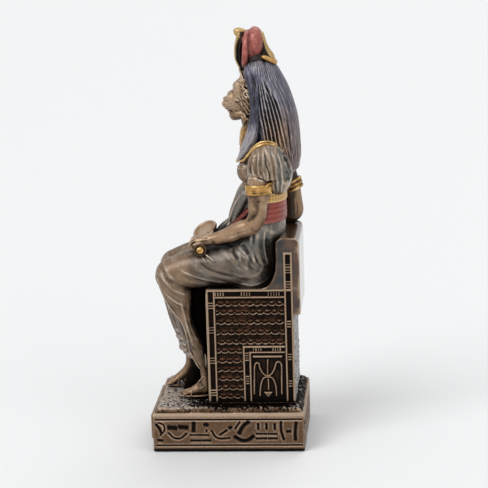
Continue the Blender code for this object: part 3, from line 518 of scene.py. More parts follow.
    bm = bmesh.new()
    edge = curveThrough(head["edge"], 10)
    rng = np.random.default_rng(head["seed"])
    for layer in range(head["layers"]):  # the mane: uneven locks that sweep back and down
        for index in range(head["strands"]):
            share = min(1, (index + 0.5 * (layer % 2)) / (head["strands"] - 1))
            if share > 0.5 and index % 2:  # fewer and thicker locks under the jaw
                continue
            y, x, z = edge[int(share * (len(edge) - 1))]
            sway = rng.uniform(-1, 1, 6)
            y += 0.5 * layer + 0.2 * sway[1]
            x += 0.42 + 0.3 * layer * (1 - 0.3 * share)
            reach = 0.46 + 0.16 * sway[0]
            lock = [(x, y, z), (x + 0.3, y + reach, z - reach * 0.7 + 0.25 * sway[2]),
                    (x + 0.42, y + (1.8 + 0.5 * sway[4]) * reach, z - reach * 1.9 + 0.3 * sway[3]),
                    (x + 0.35, y + (2.2 + 0.7 * sway[4]) * reach, z - reach * 2.8)]
            radius = 0.18 + 0.07 * sway[5] + 0.08 * step(0.45, 0.7, share)
            addStrand(bm, lock, radius, 0.3, 8, 3)
            addStrand(bm, flip(lock), radius, 0.3, 8, 3)
    for side in (-1, 1):  # what the locks grow from
        addLoft(bm, [
            (side * 1.9, 5.6, 66.4, 0.8, 1.2), (side * 2.3, 5.5, 64.6, 0.9, 1.5),
            (side * 2.3, 5.4, 62, 0.9, 1.7), (side * 2.2, 5.2, 59.4, 0.9, 1.7),
            (side * 2.1, 5.2, 57.2, 0.9, 1.5), (side * 2, 5.4, 55.8, 0.7, 1.1)])
    mane = fuse("mane", bm, head["cell"], 1)
    x, y, z = readMesh(mane)[0].T
    # inner marks the locks next to the wig's lappet, darkened as painted shade
    inner = step(-0.2, 1.4, y - np.interp(z, [56, 60, 65], [4.6, 4.2, 5.2]))
    markWashAndShading(mane, 9, 9.5, tone=0.3 * (lattice(y, z, 0.7, 45) - 0.92) - 0.22 * inner)
    settle(mane, bronze)


# Wig with long locks

wig = {"locks": 44, "lockDepth": 0.012, "topStrands": 43, "cell": 0.13, "seed": 9}


def wigShape(angle, along):  # fine uneven strands all round
    fade = min(1, max(0, along - 0.1) * 2.6)
    return (1 + fade * wig["lockDepth"] * math.cos(wig["locks"] * angle + 1.5 * math.sin(3 * along))
            + 0.006 * math.cos(2.3 * wig["locks"] * angle + 4 * math.sin(5 * along)))


def makeWig():
    bm = bmesh.new()
    addLoft(bm, [
        (0, 7, 69.8, 1.6, 1.7), (0, 7, 69.2, 2.8, 2.5), (0, 7.4, 67.9, 3.9, 3.5), (0, 8, 66, 4.7, 4.1),
        (0, 8.8, 63, 5.3, 4.75), (0, 9.6, 59.5, 5.7, 5.05), (0, 10.2, 56.7, 5.9, 5.05),
        (0, 10.9, 52, 6.1, 4.7), (0, 11.6, 48.8, 6, 4.1), (0, 12.3, 46.8, 5.4, 3.1),
        (0, 12.5, 46.3, 4.9, 2.6)], sides=8 * wig["locks"], steps=6, shape=wigShape)
    lappet = [
        (1.8, 5.6, 69.2, 0.6, 0.9), (3.3, 5.7, 67.6, 1, 1.2), (4.3, 6.1, 65.6, 1.1, 1.05),
        (4.85, 6.5, 63, 1.15, 0.95), (5.15, 6.6, 60, 1.2, 0.95), (5.2, 6.35, 57, 1.3, 1.1),
        (5, 5.8, 54.6, 1.5, 1.3), (4.5, 4.7, 52.4, 1.4, 1.1), (3.9, 3.7, 50.9, 1.05, 0.7),
        (3.4, 3, 49.9, 0.6, 0.35)]
    bridge = [
        (1.8, 6.6, 69.6, 0.8, 1.6), (3, 6.9, 68.2, 1.2, 2.1), (3.9, 7.4, 65.8, 1.3, 2.2),
        (4.5, 7.9, 63, 1.1, 1.9), (4.8, 8.2, 60.5, 0.9, 1.5), (4.9, 8.4, 58.5, 0.6, 1.1)]
    for line in (lappet, bridge):
        addLoft(bm, line)
        addLoft(bm, flip(line))
    obj = fuse("wig", bm, wig["cell"], 1)
    rng = np.random.default_rng(wig["seed"])
    strokes = []
    grooves = between([(7.5, 66.2), (7.75, 62.4), (8.1, 59), (8.7, 55.6), (9, 52.6)],
                      [(8.9, 66.2), (10.7, 62.4), (11.7, 59.6), (12.5, 56.4), (13.2, 52.4)], 11)
    for index, line in enumerate(grooves):  # the deep grooves behind the lappet
        start = int(rng.integers(0, 2)) if index > 3 else 0
        strokes.append(("left", line[start:], *((0.21, -0.5) if index % 2 == 0 else (0.1, 0.16))))
    for line in between([(9.4, 66.4), (11.3, 62.2), (12.4, 58.8), (13.2, 54.6), (13.6, 49)],
                        [(11.5, 65.9), (13.2, 62.2), (14.3, 58.8), (14.9, 55.4), (15, 49)], 9):
        first = int(rng.integers(0, 4))
        strokes.append(("left", line[first:first + 4], 0.13, -0.1 * rng.uniform(0.4, 1.4)))
    for line in between([(5.5, 66), (5.75, 61.5), (5.6, 58.5), (5.2, 55), (3.4, 51.6)],
                        [(7.2, 65.6), (7.4, 61.5), (7.5, 58.5), (7, 54.6), (5.2, 52.4)], 7):
        first = int(rng.integers(0, 3))
        strokes.append(("left", line[first:first + 5], 0.11, -0.07 * rng.uniform(0.5, 1.5)))
    strokes.append(("left", [(8.4, 51.6), (8.9, 49), (9.4, 47)], 0.16, -0.2))
    strokes += [("back", line, 0.16, -0.16) for line in between([(-5, 60), (-5.4, 53), (-4.6, 47)],
                                                                [(5, 60), (5.4, 53), (4.6, 47)], 15)]
    sculpt(obj, bothSides(strokes))
    strokes = []
    for index in range(wig["topStrands"]):  # strands that start at the crown
        angle = (index / (wig["topStrands"] - 1) - 0.5) * math.pi * 1.6
        across, back = math.sin(angle), math.cos(angle)
        near = rng.uniform(2.2, 2.8)
        ends = [(across * near, 7.2 + back * near), (across * 4.9, 8 + back * 4.5)]
        strokes.append(("top", ends, 0.1, -0.09))
    sculpt(obj, strokes)
    x, y, z = readMesh(obj)[0].T
    streak = 0.12 * (lattice(np.arctan2(x, y - 9) * 14 + 20, z, 0.9, 21) - 0.5)
    brown = (1 - step(53, 63, z)) * step(7.6, 9, y) * (1 - 0.6 * step(12.4, 14.2, y))
    setAttribute(obj, "patch", np.clip(brown, 0, 1))
    shade = -0.3 * (1 - step(6.9, 7.6, y)) * (1 - step(66, 69, z)) * step(56, 58.5, z)
    shade += 0.2 * (1 - step(6.4, 7.4, y)) * (1 - step(55, 58.5, z))
    markWashAndShading(obj, 9, 7, tone=1.4 * streak + shade - 0.1 * brown)
    settle(obj, wigPaint)


# Crown: sun disc, cobra and base ring

crown = {"discCell": 0.12, "cobraCell": 0.1, "baseCell": 0.11, "discTilt": 85, "cobraRow": 0.5, "ribs": 16}


def makeCrown():
    bm = bmesh.new()
    addBall(bm, (0, 6.7, 73.25), (3.4, 1.9, 3.35))
    addBall(bm, (0, 6, 72.6), (3.3, 1.5, 3.2))
    rim = Matrix.Rotation(math.radians(crown["discTilt"]), 4, "X")
    addRing(bm, (0, 4.95, 71.95), (3.25, 3.35), 0.7, rim, 56)
    addLoft(bm, [(0, 4.5, 71.95, 3, 3), (0, 5.6, 72.1, 3.1, 3.1)], 40)
    disc = fuse("sunDisc", bm, crown["discCell"], 2)
    x, y, z = readMesh(disc)[0].T
    # dark along the crease, painted shade over the rear of the disc in the hollow by the back strip, and
    # darker towards the bottom
    creaseAndHollowShade = np.exp(-((y - 5.5) / 0.2) ** 2) * (z < 75.4) + 0.8 * step(7.4, 8.4, y) * (z < 74.5)
    lines = lattice(np.arctan2(x, z - 73) * 6 + 20, y, 0.5, 31) - 0.5
    markWashAndShading(disc, 10, 4, tone=-0.26 * creaseAndHollowShade + 0.08 * lines - 0.1 * (1 - step(70.2, 71.6, z)))
    settle(disc, redPaint)

    bm = bmesh.new()
    addLoft(bm, [
        (0, 4.3, 67.3, 0.6, 0.6), (0, 3.95, 68.2, 1, 0.6), (0, 3.3, 70.05, 1.5, 0.85),
        (0, 3.3, 72.3, 1.7, 0.9), (0, 3.75, 74.2, 1.4, 0.95), (0, 3.9, 75.3, 1.1, 0.9)])
    addLoft(bm, [
        (0, 5.1, 75.2, 0.5, 0.25), (0, 4.2, 75.75, 0.85, 0.55), (0, 3.3, 75.6, 0.95, 0.8),
        (0, 2.8, 75.45, 0.75, 0.75), (0, 2.45, 75.35, 0.4, 0.45)])
    cobra = fuse("cobra", bm, crown["cobraCell"])
    strokes = [("front", [(-0.9, z), (0, z - 0.2), (0.9, z)], 0.1, -0.12)
               for z in np.arange(69, 74.6, crown["cobraRow"])]
    sculpt(cobra, strokes + bothSides(
        [("left", [(3.5, 74.7), (3.5, 72.4), (3.5, 70), (4.1, 68.4)], 0.35, -0.5)]))
    x, y, z = readMesh(cobra)[0].T
    # the side of the hood and the hollow behind it get the dark second paint, painted shade over a dark wash,
    # and the cobra is a little darker low down
    edge = np.interp(z, [67.97, 70.05, 72.33, 74.38, 75.75], [3.42, 2.39, 2.44, 2.83, 2.42])
    dark = step(0.25, 0.5, y - edge) * (1 - step(73.6, 74.6, z))
    dark = np.clip(dark + step(3.5, 3.9, y) * (1 - step(75.3, 75.6, z)), 0, 1)
    setAttribute(cobra, "patch", dark)
    markWashAndShading(cobra, 8, 5, tone=-0.2 * dark - 0.06 * (z < 73))
    settle(cobra, cobraPaint)

    bm = bmesh.new()
    addLoft(bm, [
        (0, 8.1, 75.5, 0.7, 0.3), (0, 8.3, 74.4, 1.1, 0.5), (0, 8.4, 72.8, 1.25, 0.85),
        (0, 8.8, 71.4, 1.35, 1.1), (0, 9.5, 70.2, 1.3, 1.2), (0, 10.1, 69.3, 1.1, 0.8)])
    addLoft(bm, [(0, 6.6, 71.2, 2.5, 2), (0, 6.6, 70, 3, 2.5), (0, 6.5, 69, 3, 2.6)])
    base = fuse("crownBase", bm, crown["baseCell"])
    place, normal = readMesh(base)
    x, y, z = place.T
    around = np.arctan2(x, y - 6.8)
    ribs = np.cos(around * crown["ribs"] + 3 * lattice(around * 3 - 20, z - 20, 0.6, 8))
    ribs *= (z < 71) * (y < 8.6) * 0.07
    writeMesh(base, place + normal * ribs[:, None])
    # dark second paint over all but the back strip's outer edge: painted shade in the hollow between the
    # strip and the disc
    edge = np.interp(z, [69.43, 70.82, 72.2, 75.4], [11.02, 9.92, 9.27, 8.44])
    dark = (1 - step(0.3, 0.5, y - edge + 0.75)) * (z < 75.2)
    setAttribute(base, "patch", dark)
    markWashAndShading(base, 8, 5, tone=-0.3 * dark)
    settle(base, cobraPaint)

    bm = bmesh.new()
    leaf = [(1.3, 7.7, 70.3), (1.9, 8.5, 70.5), (1.9, 9.5, 70.1), (1.5, 10.4, 69.5), (0.8, 10.85, 69.1)]
    addStrand(bm, leaf, 0.5, 0.7)
    addStrand(bm, flip(leaf), 0.5, 0.7)
    addStrand(bm, [(-1.4, 10.3, 69.5), (0, 10.75, 69.2), (1.4, 10.3, 69.5)], 0.48, 0.8)
    curl = fuse("crownCurl", bm, crown["cobraCell"])
    markWashAndShading(curl, 8, 5)
    settle(curl, goldPaint)


# Dress: bodice, sleeves and the long skirt over both legs

dress = {"bodiceCell": 0.16, "skirtCell": 0.2, "hemCell": 0.13, "coreCell": 0.25}


def makeBodice():
    bm = bmesh.new()
    addLoft(bm, [
        (0, 8.8, 52.6, 4.4, 2.6), (0, 8.9, 51.4, 6.4, 3.8), (0, 8.7, 49.5, 7, 4.8), (0, 8.4, 46.5, 6.6, 5),
        (0, 7.9, 43.5, 5.9, 4.5), (0, 7.6, 41.5, 5.6, 4.5), (0, 6.8, 37, 6.3, 5)], sides=40)
    for side in (-1, 1):
        addBall(bm, (side * 2.7, 4.95, 47.3), (2.3, 2.5, 2.6))
    addLoft(bm, [
        (6.3, 8.7, 53, 0.7, 1.6), (6.8, 8.8, 52.4, 1.4, 2.8), (7.3, 9, 51.2, 1.95, 3.7),
        (7.7, 9.2, 49.4, 2.15, 4.2), (7.9, 9.2, 47.4, 2.1, 4.2), (7.9, 9.3, 46.5, 2, 3.9)])
    addLoft(bm, [
        (7, 11.3, 51, 1.9, 1.9), (7.4, 11.6, 48.6, 2.2, 2.5), (7.4, 11.4, 46.2, 2.1, 2.3),
        (7, 10.9, 44.6, 1.7, 1.9), (6.6, 10.6, 43.7, 1.1, 1.3)])
    addLoft(bm, [
        (-6.3, 9.4, 53, 0.7, 1.6), (-6.9, 9.8, 52.2, 1.5, 2.8), (-7.3, 10.6, 50.4, 2, 3.3),
        (-7.7, 11.6, 46.6, 2.1, 3.2), (-7.8, 12, 45.4, 2, 3)])
    addLoft(bm, [(0, 12.2, 48, 5.8, 1.4), (0, 12.3, 45.2, 5.4, 1.3), (0, 11.9, 43.2, 4.8, 0.8)])
    addLoft(bm, [
        (0, 5.2, 44.8, 3.6, 1.4), (0, 4.5, 42.9, 4.9, 2), (0, 3.5, 41, 4.9, 1.8), (0, 2, 38, 4.4, 1.5),
        (0, 1.75, 36.4, 4.2, 1.45), (0, 1, 35.4, 3.9, 1.75), (0, 0.3, 34.4, 3.6, 2.2),
        (0, -0.4, 33, 3.4, 2.6), (0, -0.6, 32, 3.2, 2.6)])
    obj = fuse("bodice", bm, dress["bodiceCell"], 4)
    strokes = pleats("left", [(5.7, 51.6), (5.3, 49.9), (5.2, 47.6)],
                     [(8.4, 52.2), (8.4, 50.1), (8.6, 47.6)], 4, 0.22, 0.13)
    strokes += pleats("left", [(9.4, 52.4), (9.8, 50), (10.2, 46.8), (10.4, 43.6)],
                      [(12.3, 51.6), (13, 49.6), (13.2, 46.4), (12.4, 43.8)], 4, 0.26, 0.14)
    strokes += [
        ("left", [(8.7, 52.6), (9, 49.9), (9.6, 48), (9.7, 45.9)], 0.15, -0.24),
        ("left", [(4.9, 47.2), (6.2, 47.3), (7.4, 47.1), (8.5, 46.6), (9.6, 45.9)], 0.15, -0.36),
        ("left", [(12.4, 51.5), (13.4, 49.6), (13.9, 47.7)], 0.2, -0.22),
        ("left", [(5.6, 51.4), (6.4, 50.9), (7.4, 51.2)], 0.14, -0.06)]
    strokes = bothSides(strokes)
    strokes += pleats("front", [(-2.6, 43.5), (-3, 40), (-3.4, 36), (-3.4, 33)],
                      [(2.6, 43.5), (3, 40), (3.4, 36), (3.4, 33)], 6, 0.2, 0.16)
    strokes += pleats("left", [(3.9, 43.6), (2.2, 40.4), (0.8, 37.2)],
                      [(2.4, 41.6), (1.2, 38.8), (0.2, 35.6)], 3, 0.16, 0.16)
    for side in (-1, 1):
        strokes += pleats("front", [(side * 0.8, 51), (side * 2.6, 50.4), (side * 4.8, 50.8)],
                          [(side * 0.5, 49.6), (side * 2.2, 48.4), (side * 4.8, 48)], 2, 0.22, 0.06)
        strokes += pleats("back", [(side * 1, 47), (side * 0.8, 43.6)],
                          [(side * 5, 47), (side * 4.4, 43.6)], 4, 0.2, 0.12)
    sculpt(obj, strokes)
    y, z = readMesh(obj)[0].T[1:]
    panels = step(0.35, 0.6, lattice(y + 0.2 * z, z * 0.35, 0.9, 15))
    blue = panels * (0.35 + 0.6 * step(9.4, 10.4, y)) * (z > 44) + 0.9 * (z < 44) * (y < 5.5)
    setAttribute(obj, "patch", np.clip(blue, 0, 1))
    brushed = lattice(y * 1.6 + 0.3 * z, z * 0.4, 0.5, 18) - 0.5
    # painted shadow of the wig along the back of the sleeves, and rim is a painted highlight on the back edge
    # below them
    backEdge = np.interp(z, [46, 47.5, 49, 51.5], [13, 13.4, 13.4, 12.6])
    wigShadow = np.exp(-((y - backEdge) / 0.45) ** 2) * step(45.6, 46.6, z) * lattice(y, z, 0.45, 19)
    flare = (1 - step(35.6, 36.6, z)) * (y < 3)
    rim = 0.22 * step(11.6, 12.6, y) * (1 - step(46, 47, z)) * step(42.6, 43.2, z)
    light = 0.05 * (z > 44) + 0.42 * brushed * (z > 43.5) + 1.4 * rim
    markWashAndShading(obj, 9, 5, tone=light - 0.7 * wigShadow - 0.5 * flare)
    settle(obj, dressPaint)


def makeSkirt():
    bm = bmesh.new()
    addLoft(bm, [
        (0, 6.9, 37.6, 5.6, 4.8), (0, 6.9, 36.4, 6.6, 5.3), (0, 5.8, 32.5, 7.7, 6), (0, 5.2, 27.8, 8.3, 5.7),
        (0, 4.8, 23.4, 8.1, 5.4)], sides=40)
    for side in (-1, 1):
        addLoft(bm, [
            (side * 5, 5, 28.4, 3.9, 4.6), (side * 4.7, 0.5, 28, 4.1, 4.4), (side * 4.5, -4, 27.6, 4, 4.1),
            (side * 4.3, -8, 27.1, 3.8, 3.9), (side * 4.2, -11.4, 26.2, 3.4, 3.4)])
        addBall(bm, (side * 4.2, -11.6, 26.1), (3.4, 3.4, 3.4))
    addLoft(bm, [
        (-3.9, -11.5, 25, 3.3, 3.3), (-3.8, -11.7, 22, 3.1, 3.1), (-3.7, -11.4, 19, 2.8, 2.9),
        (-3.6, -11, 16, 2.5, 2.6), (-3.5, -10.3, 13, 2.3, 2.3), (-3.5, -9.6, 10, 2.1, 2),
        (-3.4, -9, 7.6, 1.9, 1.6)])
    addLoft(bm, [
        (4.2, -11.2, 25, 3.3, 3.3), (4.3, -10.5, 22, 3, 2.95), (4.3, -10, 20, 2.8, 2.4),
        (4.4, -9.6, 18.5, 2.5, 1.9), (4.5, -9, 16.8, 2.3, 1.25), (4.6, -8.4, 15, 2.15, 1.1),
        (4.6, -7.8, 13.4, 2.05, 1.05), (4.7, -7.2, 11.8, 2, 1.15), (4.7, -6.5, 10, 2, 1.35),
        (4.7, -6, 8.2, 1.95, 1.15), (4.8, -5.6, 6.6, 1.8, 0.8), (4.8, -5.1, 5.6, 1.6, 0.4)])
    addLoft(bm, [
        (0, 1, 28.6, 4.5, 4), (0, -6, 28, 4.5, 3.8), (0, -8.8, 26, 4.5, 4), (-0.2, -10.2, 20, 4.2, 2.5),
        (-0.2, -9.6, 16, 3.9, 2.1), (-0.3, -8.8, 12, 3.4, 1.9), (-0.4, -7.9, 8.2, 3, 1.5)])
    obj = fuse("skirt", bm, dress["skirtCell"], 14)
    strokes = []
    # the folds over the lap, thighs and shins: first line, last line, how many, width and depth
    for first, last, count, width, depth in (
            ([(-3.8, 30), (-2.2, 28.6), (0.4, 27.5), (3, 27)],
             [(-12, 26.6), (-8.8, 25.6), (-5, 24.6), (-1, 24)], 4, 0.42, 0.12),
            ([(-12.8, 28.4), (-11.4, 26.4), (-9.4, 24.8), (-6.6, 23.8)],
             [(-14.4, 26), (-13.4, 23.6), (-11.8, 21.8), (-9.6, 20.2)], 3, 0.32, 0.11),
            ([(-1, 31.6), (0.8, 31.3), (1.4, 30.2), (2, 28.8), (3.5, 27.7)],
             [(2.6, 32.6), (3.6, 31.6), (4.6, 30.4), (5.2, 29), (6.2, 28)], 3, 0.3, 0.06),
            ([(5.2, 35), (5, 33), (5.2, 31), (6.2, 29)],
             [(9.6, 35.6), (9.4, 33.4), (9.6, 31), (9.8, 28.4)], 4, 0.34, 0.14),
            ([(1.4, 26.8), (3.8, 26.5), (5.9, 26.5), (7, 27.2), (7.6, 28.4), (7, 30.2)],
             [(1.4, 25.2), (4, 24.7), (6.6, 24.7), (8.6, 25.8), (9.6, 27.6), (9.4, 30.2)], 2, 0.26, 0.12),
            ([(-9.6, 20.8), (-8.9, 17.4), (-8.3, 14.6), (-7.4, 11)],
             [(-8.2, 21.4), (-8.2, 17.4), (-7.6, 14.6), (-6, 11)], 2, 0.22, 0.1),
            ([(-7.4, 10.6), (-6.8, 8.6), (-6, 6.8)],
             [(-5.8, 10.4), (-5.4, 8.4), (-5.2, 6.6)], 2, 0.18, 0.1),
            ([(-14.2, 20.4), (-13, 17), (-12, 13.4)],
             [(-12.6, 19.6), (-10.8, 16.4), (-9.8, 12.6)], 3, 0.24, 0.1)):
        strokes += pleats("left", first, last, count, width, depth)
    # soft folds below the forearm
    strokes += [
        ("left", [(0.7, 31.9), (1.3, 31), (2, 30.1), (2.8, 29)], 0.3, 0.08),
        ("left", [(2.5, 32.5), (2.95, 31.6), (3.4, 30.8), (4.4, 30.1)], 0.3, 0.08),
        ("left", [(-1.6, 31.6), (-0.4, 31.5), (0.5, 30.8), (1, 29.8)], 0.4, 0.1),
        ("left", [(5.5, 34.8), (5.5, 33.4), (5.8, 32), (5.7, 30.8), (6.1, 29.2)], 0.35, 0.18),
        ("left", [(1.5, 32.1), (2.1, 31), (2.7, 30)], 0.35, -0.24),
        ("left", [(3.5, 32.9), (4.2, 32), (4.9, 31)], 0.45, -0.22),
        ("left", [(-3.7, 32), (-1.9, 31.8), (0.3, 32.2), (2.6, 33.3)], 0.4, -0.3)]
    strokes = bothSides(strokes)
    for side in (-1, 1):
        strokes += pleats("front", [(side * 1.6, 27.6), (side * 1.2, 23), (side * 0.9, 17), (side * 0.8, 12)],
                          [(side * 6.4, 26), (side * 5.6, 21), (side * 4.9, 15), (side * 4.6, 11)],
                          5, 0.28, 0.14)
        strokes.append(("top", [(side * 0.6, -12), (side * 0.4, -6), (side * 0.8, -1)], 0.9, -0.4))
        strokes += pleats("top", [(side * 2.6, -10), (side * 2.4, -5), (side * 1.8, -0.8)],
                          [(side * 6.2, -9), (side * 5.6, -3.5), (side * 4.2, 0.6)], 3, 0.32, 0.07)
    sculpt(obj, strokes)
    x, y, z = readMesh(obj)[0].T
    blue = step(30, 34.5, z) * step(2, 5, y) * 0.8 + step(-9, -3, y) * step(22, 25, z) * 0.6
    shinEdge = np.interp(z, [5, 8, 12, 17, 20, 22], [-5.5, -7.4, -8.5, -9.9, -12.6, -13.5])
    blue += (z < 20) * step(0, 0.8, shinEdge - y) * 0.5
    rough = lattice(y * 0.5 + x * 0.3, z + y * 0.3, 1.3, 16) - 0.5
    setAttribute(obj, "patch", np.clip(blue + 0.5 * rough * (blue > 0.05), 0, 1))
    shade = -0.16 * step(5.6, 8.4, y) * (z < 34) - 0.1 * step(-9, -5, y) * (1 - step(23.4, 25.4, z))
    shade += 0.16 * step(33.5, 35, z) * step(5, 7, y) * (0.4 + lattice(y, z, 0.5, 20))
    # painted shadow in a dark line under the forearms
    forearmShadowLine = np.interp(y, [-4, -1.9, 0.5, 4, 7.2], [32.4, 32.3, 33, 34.3, 36.1])
    shade -= 0.5 * np.exp(-((z - forearmShadowLine) / 0.7) ** 2) * (y < 5) * (np.abs(x) > 2)
    brushed = lattice(y * 0.5 + x * 0.3 + z, z + y * 0.8, 0.6, 23) - 0.5
    shade -= 0.09 * step(-9.5, -6, y) * (1 - step(33, 35, z)) * step(22.5, 24, z)
    shade -= 0.09 * (1 - step(15, 20, z))
    markWashAndShading(obj, 9, 5, tone=0.14 * rough + 0.16 * brushed + shade)
    settle(obj, dressPaint)

    bm = bmesh.new()
    # the ruffled hem over the far foot
    for y, z, thick in (
            (-11.7, 12.4, 0.56), (-11.4, 11, 0.74), (-10.95, 9.6, 0.66), (-10.85, 8.5, 0.72),
            (-10.1, 7.5, 0.6), (-9.6, 6.8, 0.5)):
        addStrand(bm, [(-5.7, y + 1.6, z + 0.3), (-4.6, y + 0.4, z), (-3.2, y, z), (-1.6, y + 0.3, z + 0.2),
                       (0.4, y + 1, z + 0.5), (2.4, y + 1.7, z + 0.7)], thick, 0.6)
    addStrand(bm, [
        (4.6, -14, 23.4), (5.4, -13.2, 22), (5.9, -12.3, 19.9), (6.1, -11.2, 18.3), (6.2, -9.8, 16.7),
        (6.2, -9.1, 15.2), (6.3, -8.7, 13.6), (6.3, -8.45, 12), (6.3, -8.2, 10), (6.2, -7.4, 8.4),
        (6, -6.5, 6.6), (5.4, -5.4, 5.4)], 0.26, 0.7)
    addStrand(bm, [(5.9, -7.8, 10.4), (6.1, -7, 8.8), (6, -6.2, 7)], 0.2, 0.6)
    addStrand(bm, [(6, -5, 9.4), (6.1, -4.9, 7.6), (5.6, -5.1, 5.6)], 0.24, 0.7)
    hem = fuse("skirtHem", bm, dress["hemCell"], 2)
    markWashAndShading(hem, 8, 5, tone=0.01)
    setAttribute(hem, "patch", np.zeros(len(hem.data.vertices)))
    settle(hem, dressPaint)

    bm = bmesh.new()
    # a dark filler between and behind the legs, painted as the shade there
    addLoft(bm, [
        (0, -6.2, 25, 5.2, 3.4), (0, -6.2, 18, 4.6, 3.4), (0, -6, 11, 4.2, 3), (0.8, -5.8, 6, 3.2, 2.7),
        (0.8, -6.1, 4, 3, 2.9), (0.8, -6.6, 2.2, 3, 3.3), (0.8, -6.7, 0.2, 3, 3.7)])
    core = fuse("skirtCore", bm, dress["coreCell"], 2)  # between and behind the legs
    place, normal = readMesh(core)
    rough = 0.12 * (lattice(place[:, 1], place[:, 2], 0.9, 17) - 0.5)
    writeMesh(core, place + normal * rough[:, None])
    markWashAndShading(core, 6, 4, tone=-0.3)
    settle(core, shadowPaint)


# Arms, hands and feet

limbs = {"cell": 0.13, "sandalCell": 0.11, "finger": 0.46, "thumb": 0.5, "toe": 0.34}


def makeArms():
    bm = bmesh.new()
    addLoft(bm, [
        (7, 7.6, 51, 1.6, 2), (7.6, 7.4, 47, 1.9, 2.3), (7.9, 7.15, 44, 1.9, 2.25), (8, 6.95, 41, 1.8, 1.95),
        (8, 6.7, 38.8, 1.75, 1.85), (7.8, 5.5, 36.9, 1.7, 1.8), (7.3, 3.2, 36.05, 1.65, 1.8),
        (6.8, 1.2, 35.05, 1.5, 1.6), (6.2, -1.2, 34.15, 1.3, 1.35), (5.8, -3.2, 33.75, 1.35, 1.15),
        (5.4, -5, 33.65, 1.6, 0.95), (5.2, -6.6, 33.4, 1.5, 0.7), (5.1, -7.2, 33.3, 1.3, 0.45)])
    for index in range(4):  # fingers closed round the stem
        x = 6.3 - index * 0.8
        addStrand(bm, [(x, -5.6, 33.9), (x, -6.7, 33.7), (x, -7.15, 32.9), (x, -6.9, 32), (x, -6.1, 31.5)],
                  limbs["finger"], 0.8, 12)
    addBall(bm, (5.6, -5.5, 32.9), (1.6, 1.5, 0.95))  # palm
    addStrand(bm, [(6.7, -2.2, 33.6), (7.15, -3.8, 33.3), (7.2, -5.2, 33.1), (7, -6.5, 32.8)],
              limbs["thumb"], 0.8, 12)
    addLoft(bm, [
        (-7, 9.8, 51, 1.6, 2), (-7.5, 11.8, 47, 1.8, 1.7), (-8, 13.35, 42.4, 1.7, 1.4),
        (-8.3, 14.1, 39, 1.55, 1.1), (-8.4, 14.35, 36.8, 1.5, 1.05), (-8.3, 13.6, 35.5, 1.45, 1),
        (-8.1, 11, 35.2, 1.5, 1.2), (-7.4, 6, 34.4, 1.5, 1.35), (-6.6, 1.8, 33.4, 1.15, 1.1),
        (-5.9, -0.6, 32.7, 1.6, 0.95), (-5.4, -2.8, 32.1, 1.7, 0.7)])
    # the web behind the drawn-back arm, painted dark as the shade between arm and body
    addLoft(bm, [
        (-6.6, 12.2, 44, 0.7, 1.2), (-6.9, 12.6, 41, 0.7, 1.3), (-7.1, 12.8, 38, 0.7, 1.2),
        (-7.1, 12.6, 35.2, 0.8, 1.3)])
    for index in range(4):
        x = -4.1 - index * 0.85
        reach = 0.5 * math.sin((index + 0.8) * 0.8)
        addStrand(bm, [(x, -2.4, 32.3), (x + 0.1, -4, 32), (x + 0.2, -5.2 - reach, 31.3)],
                  limbs["finger"], 0.75, 12)
    addStrand(bm, [(-4.4, -1, 32.7), (-3.5, -2.2, 32.4), (-3.1, -3.3, 31.9)], limbs["thumb"], 0.75, 12)
    obj = fuse("arms", bm, limbs["cell"])
    sculpt(obj, [
        ("left", [(7.4, 43), (7.2, 41.2), (6.8, 39.6), (5.6, 38.6), (4.6, 38.2)], 0.4, -0.22),
        ("left", [(5, 36.4), (2.4, 35.4), (0, 34.7)], 0.3, -0.12),
        ("left", [(-3.6, 34.3), (-5, 34.35), (-6.2, 34.1), (-7.2, 33.4)], 0.13, -0.2),
        ("left", [(-4.9, 34.7), (-5.7, 34.6), (-6.6, 34.3)], 0.1, -0.1),
        ("left", [(-6.2, 33.6), (-6.9, 33), (-7.2, 32.2)], 0.14, -0.2),
        ("left", [(-3, 33), (-4.4, 32.9), (-5.6, 32.7)], 0.14, -0.16),
        ("right", [(13.2, 41.6), (13.6, 39.6), (13.8, 37.6)], 0.3, -0.2),
        ("back", [(-8.6, 41.4), (-8.7, 39), (-8.8, 37)], 0.4, -0.16)])
    place, normal = readMesh(obj)
    x, y, z = place.T
    # painted shade on the web and on the drawn-back arm above its band
    armGapShade = (x < -5) * (y > 10.8) * (1 - step(13.3, 13.9, y)) * (z < 41.5)
    armGapShade = armGapShade + (x < -5) * (y > 10.8) * (z > 43) * 0.8
    # painted shade on the near arm's undersides, in the crook of the elbow and along a line at the near wrist
    undersideShade = -0.12 * step(0.2, 0.9, -normal[:, 2]) * (x > 0)
    worn = lattice(y + 0.4 * x, z, 1.5, 24) + 0.5 * lattice(y + x, z - x, 0.6, 25) - 0.75
    creaseShade = np.interp(z, [37, 38.4, 39.6, 41.2, 43], [4.4, 5.6, 6.4, 6.6, 6.6])
    creaseShade = np.exp(-((y - creaseShade) / 0.8) ** 2) * step(36.4, 37.6, z) * (z < 43.6) * (x > 6)
    creaseShade += np.exp(-((z - 33.5) / 0.3) ** 2) * step(-5.6, -4.8, y) * (1 - step(-2.4, -1.6, y)) * (x > 4)
    markWashAndShading(obj, 9, 5, tone=undersideShade - 0.6 * armGapShade + 0.3 * worn - 0.26 * creaseShade, lift=0.1)
    settle(obj, bronze)


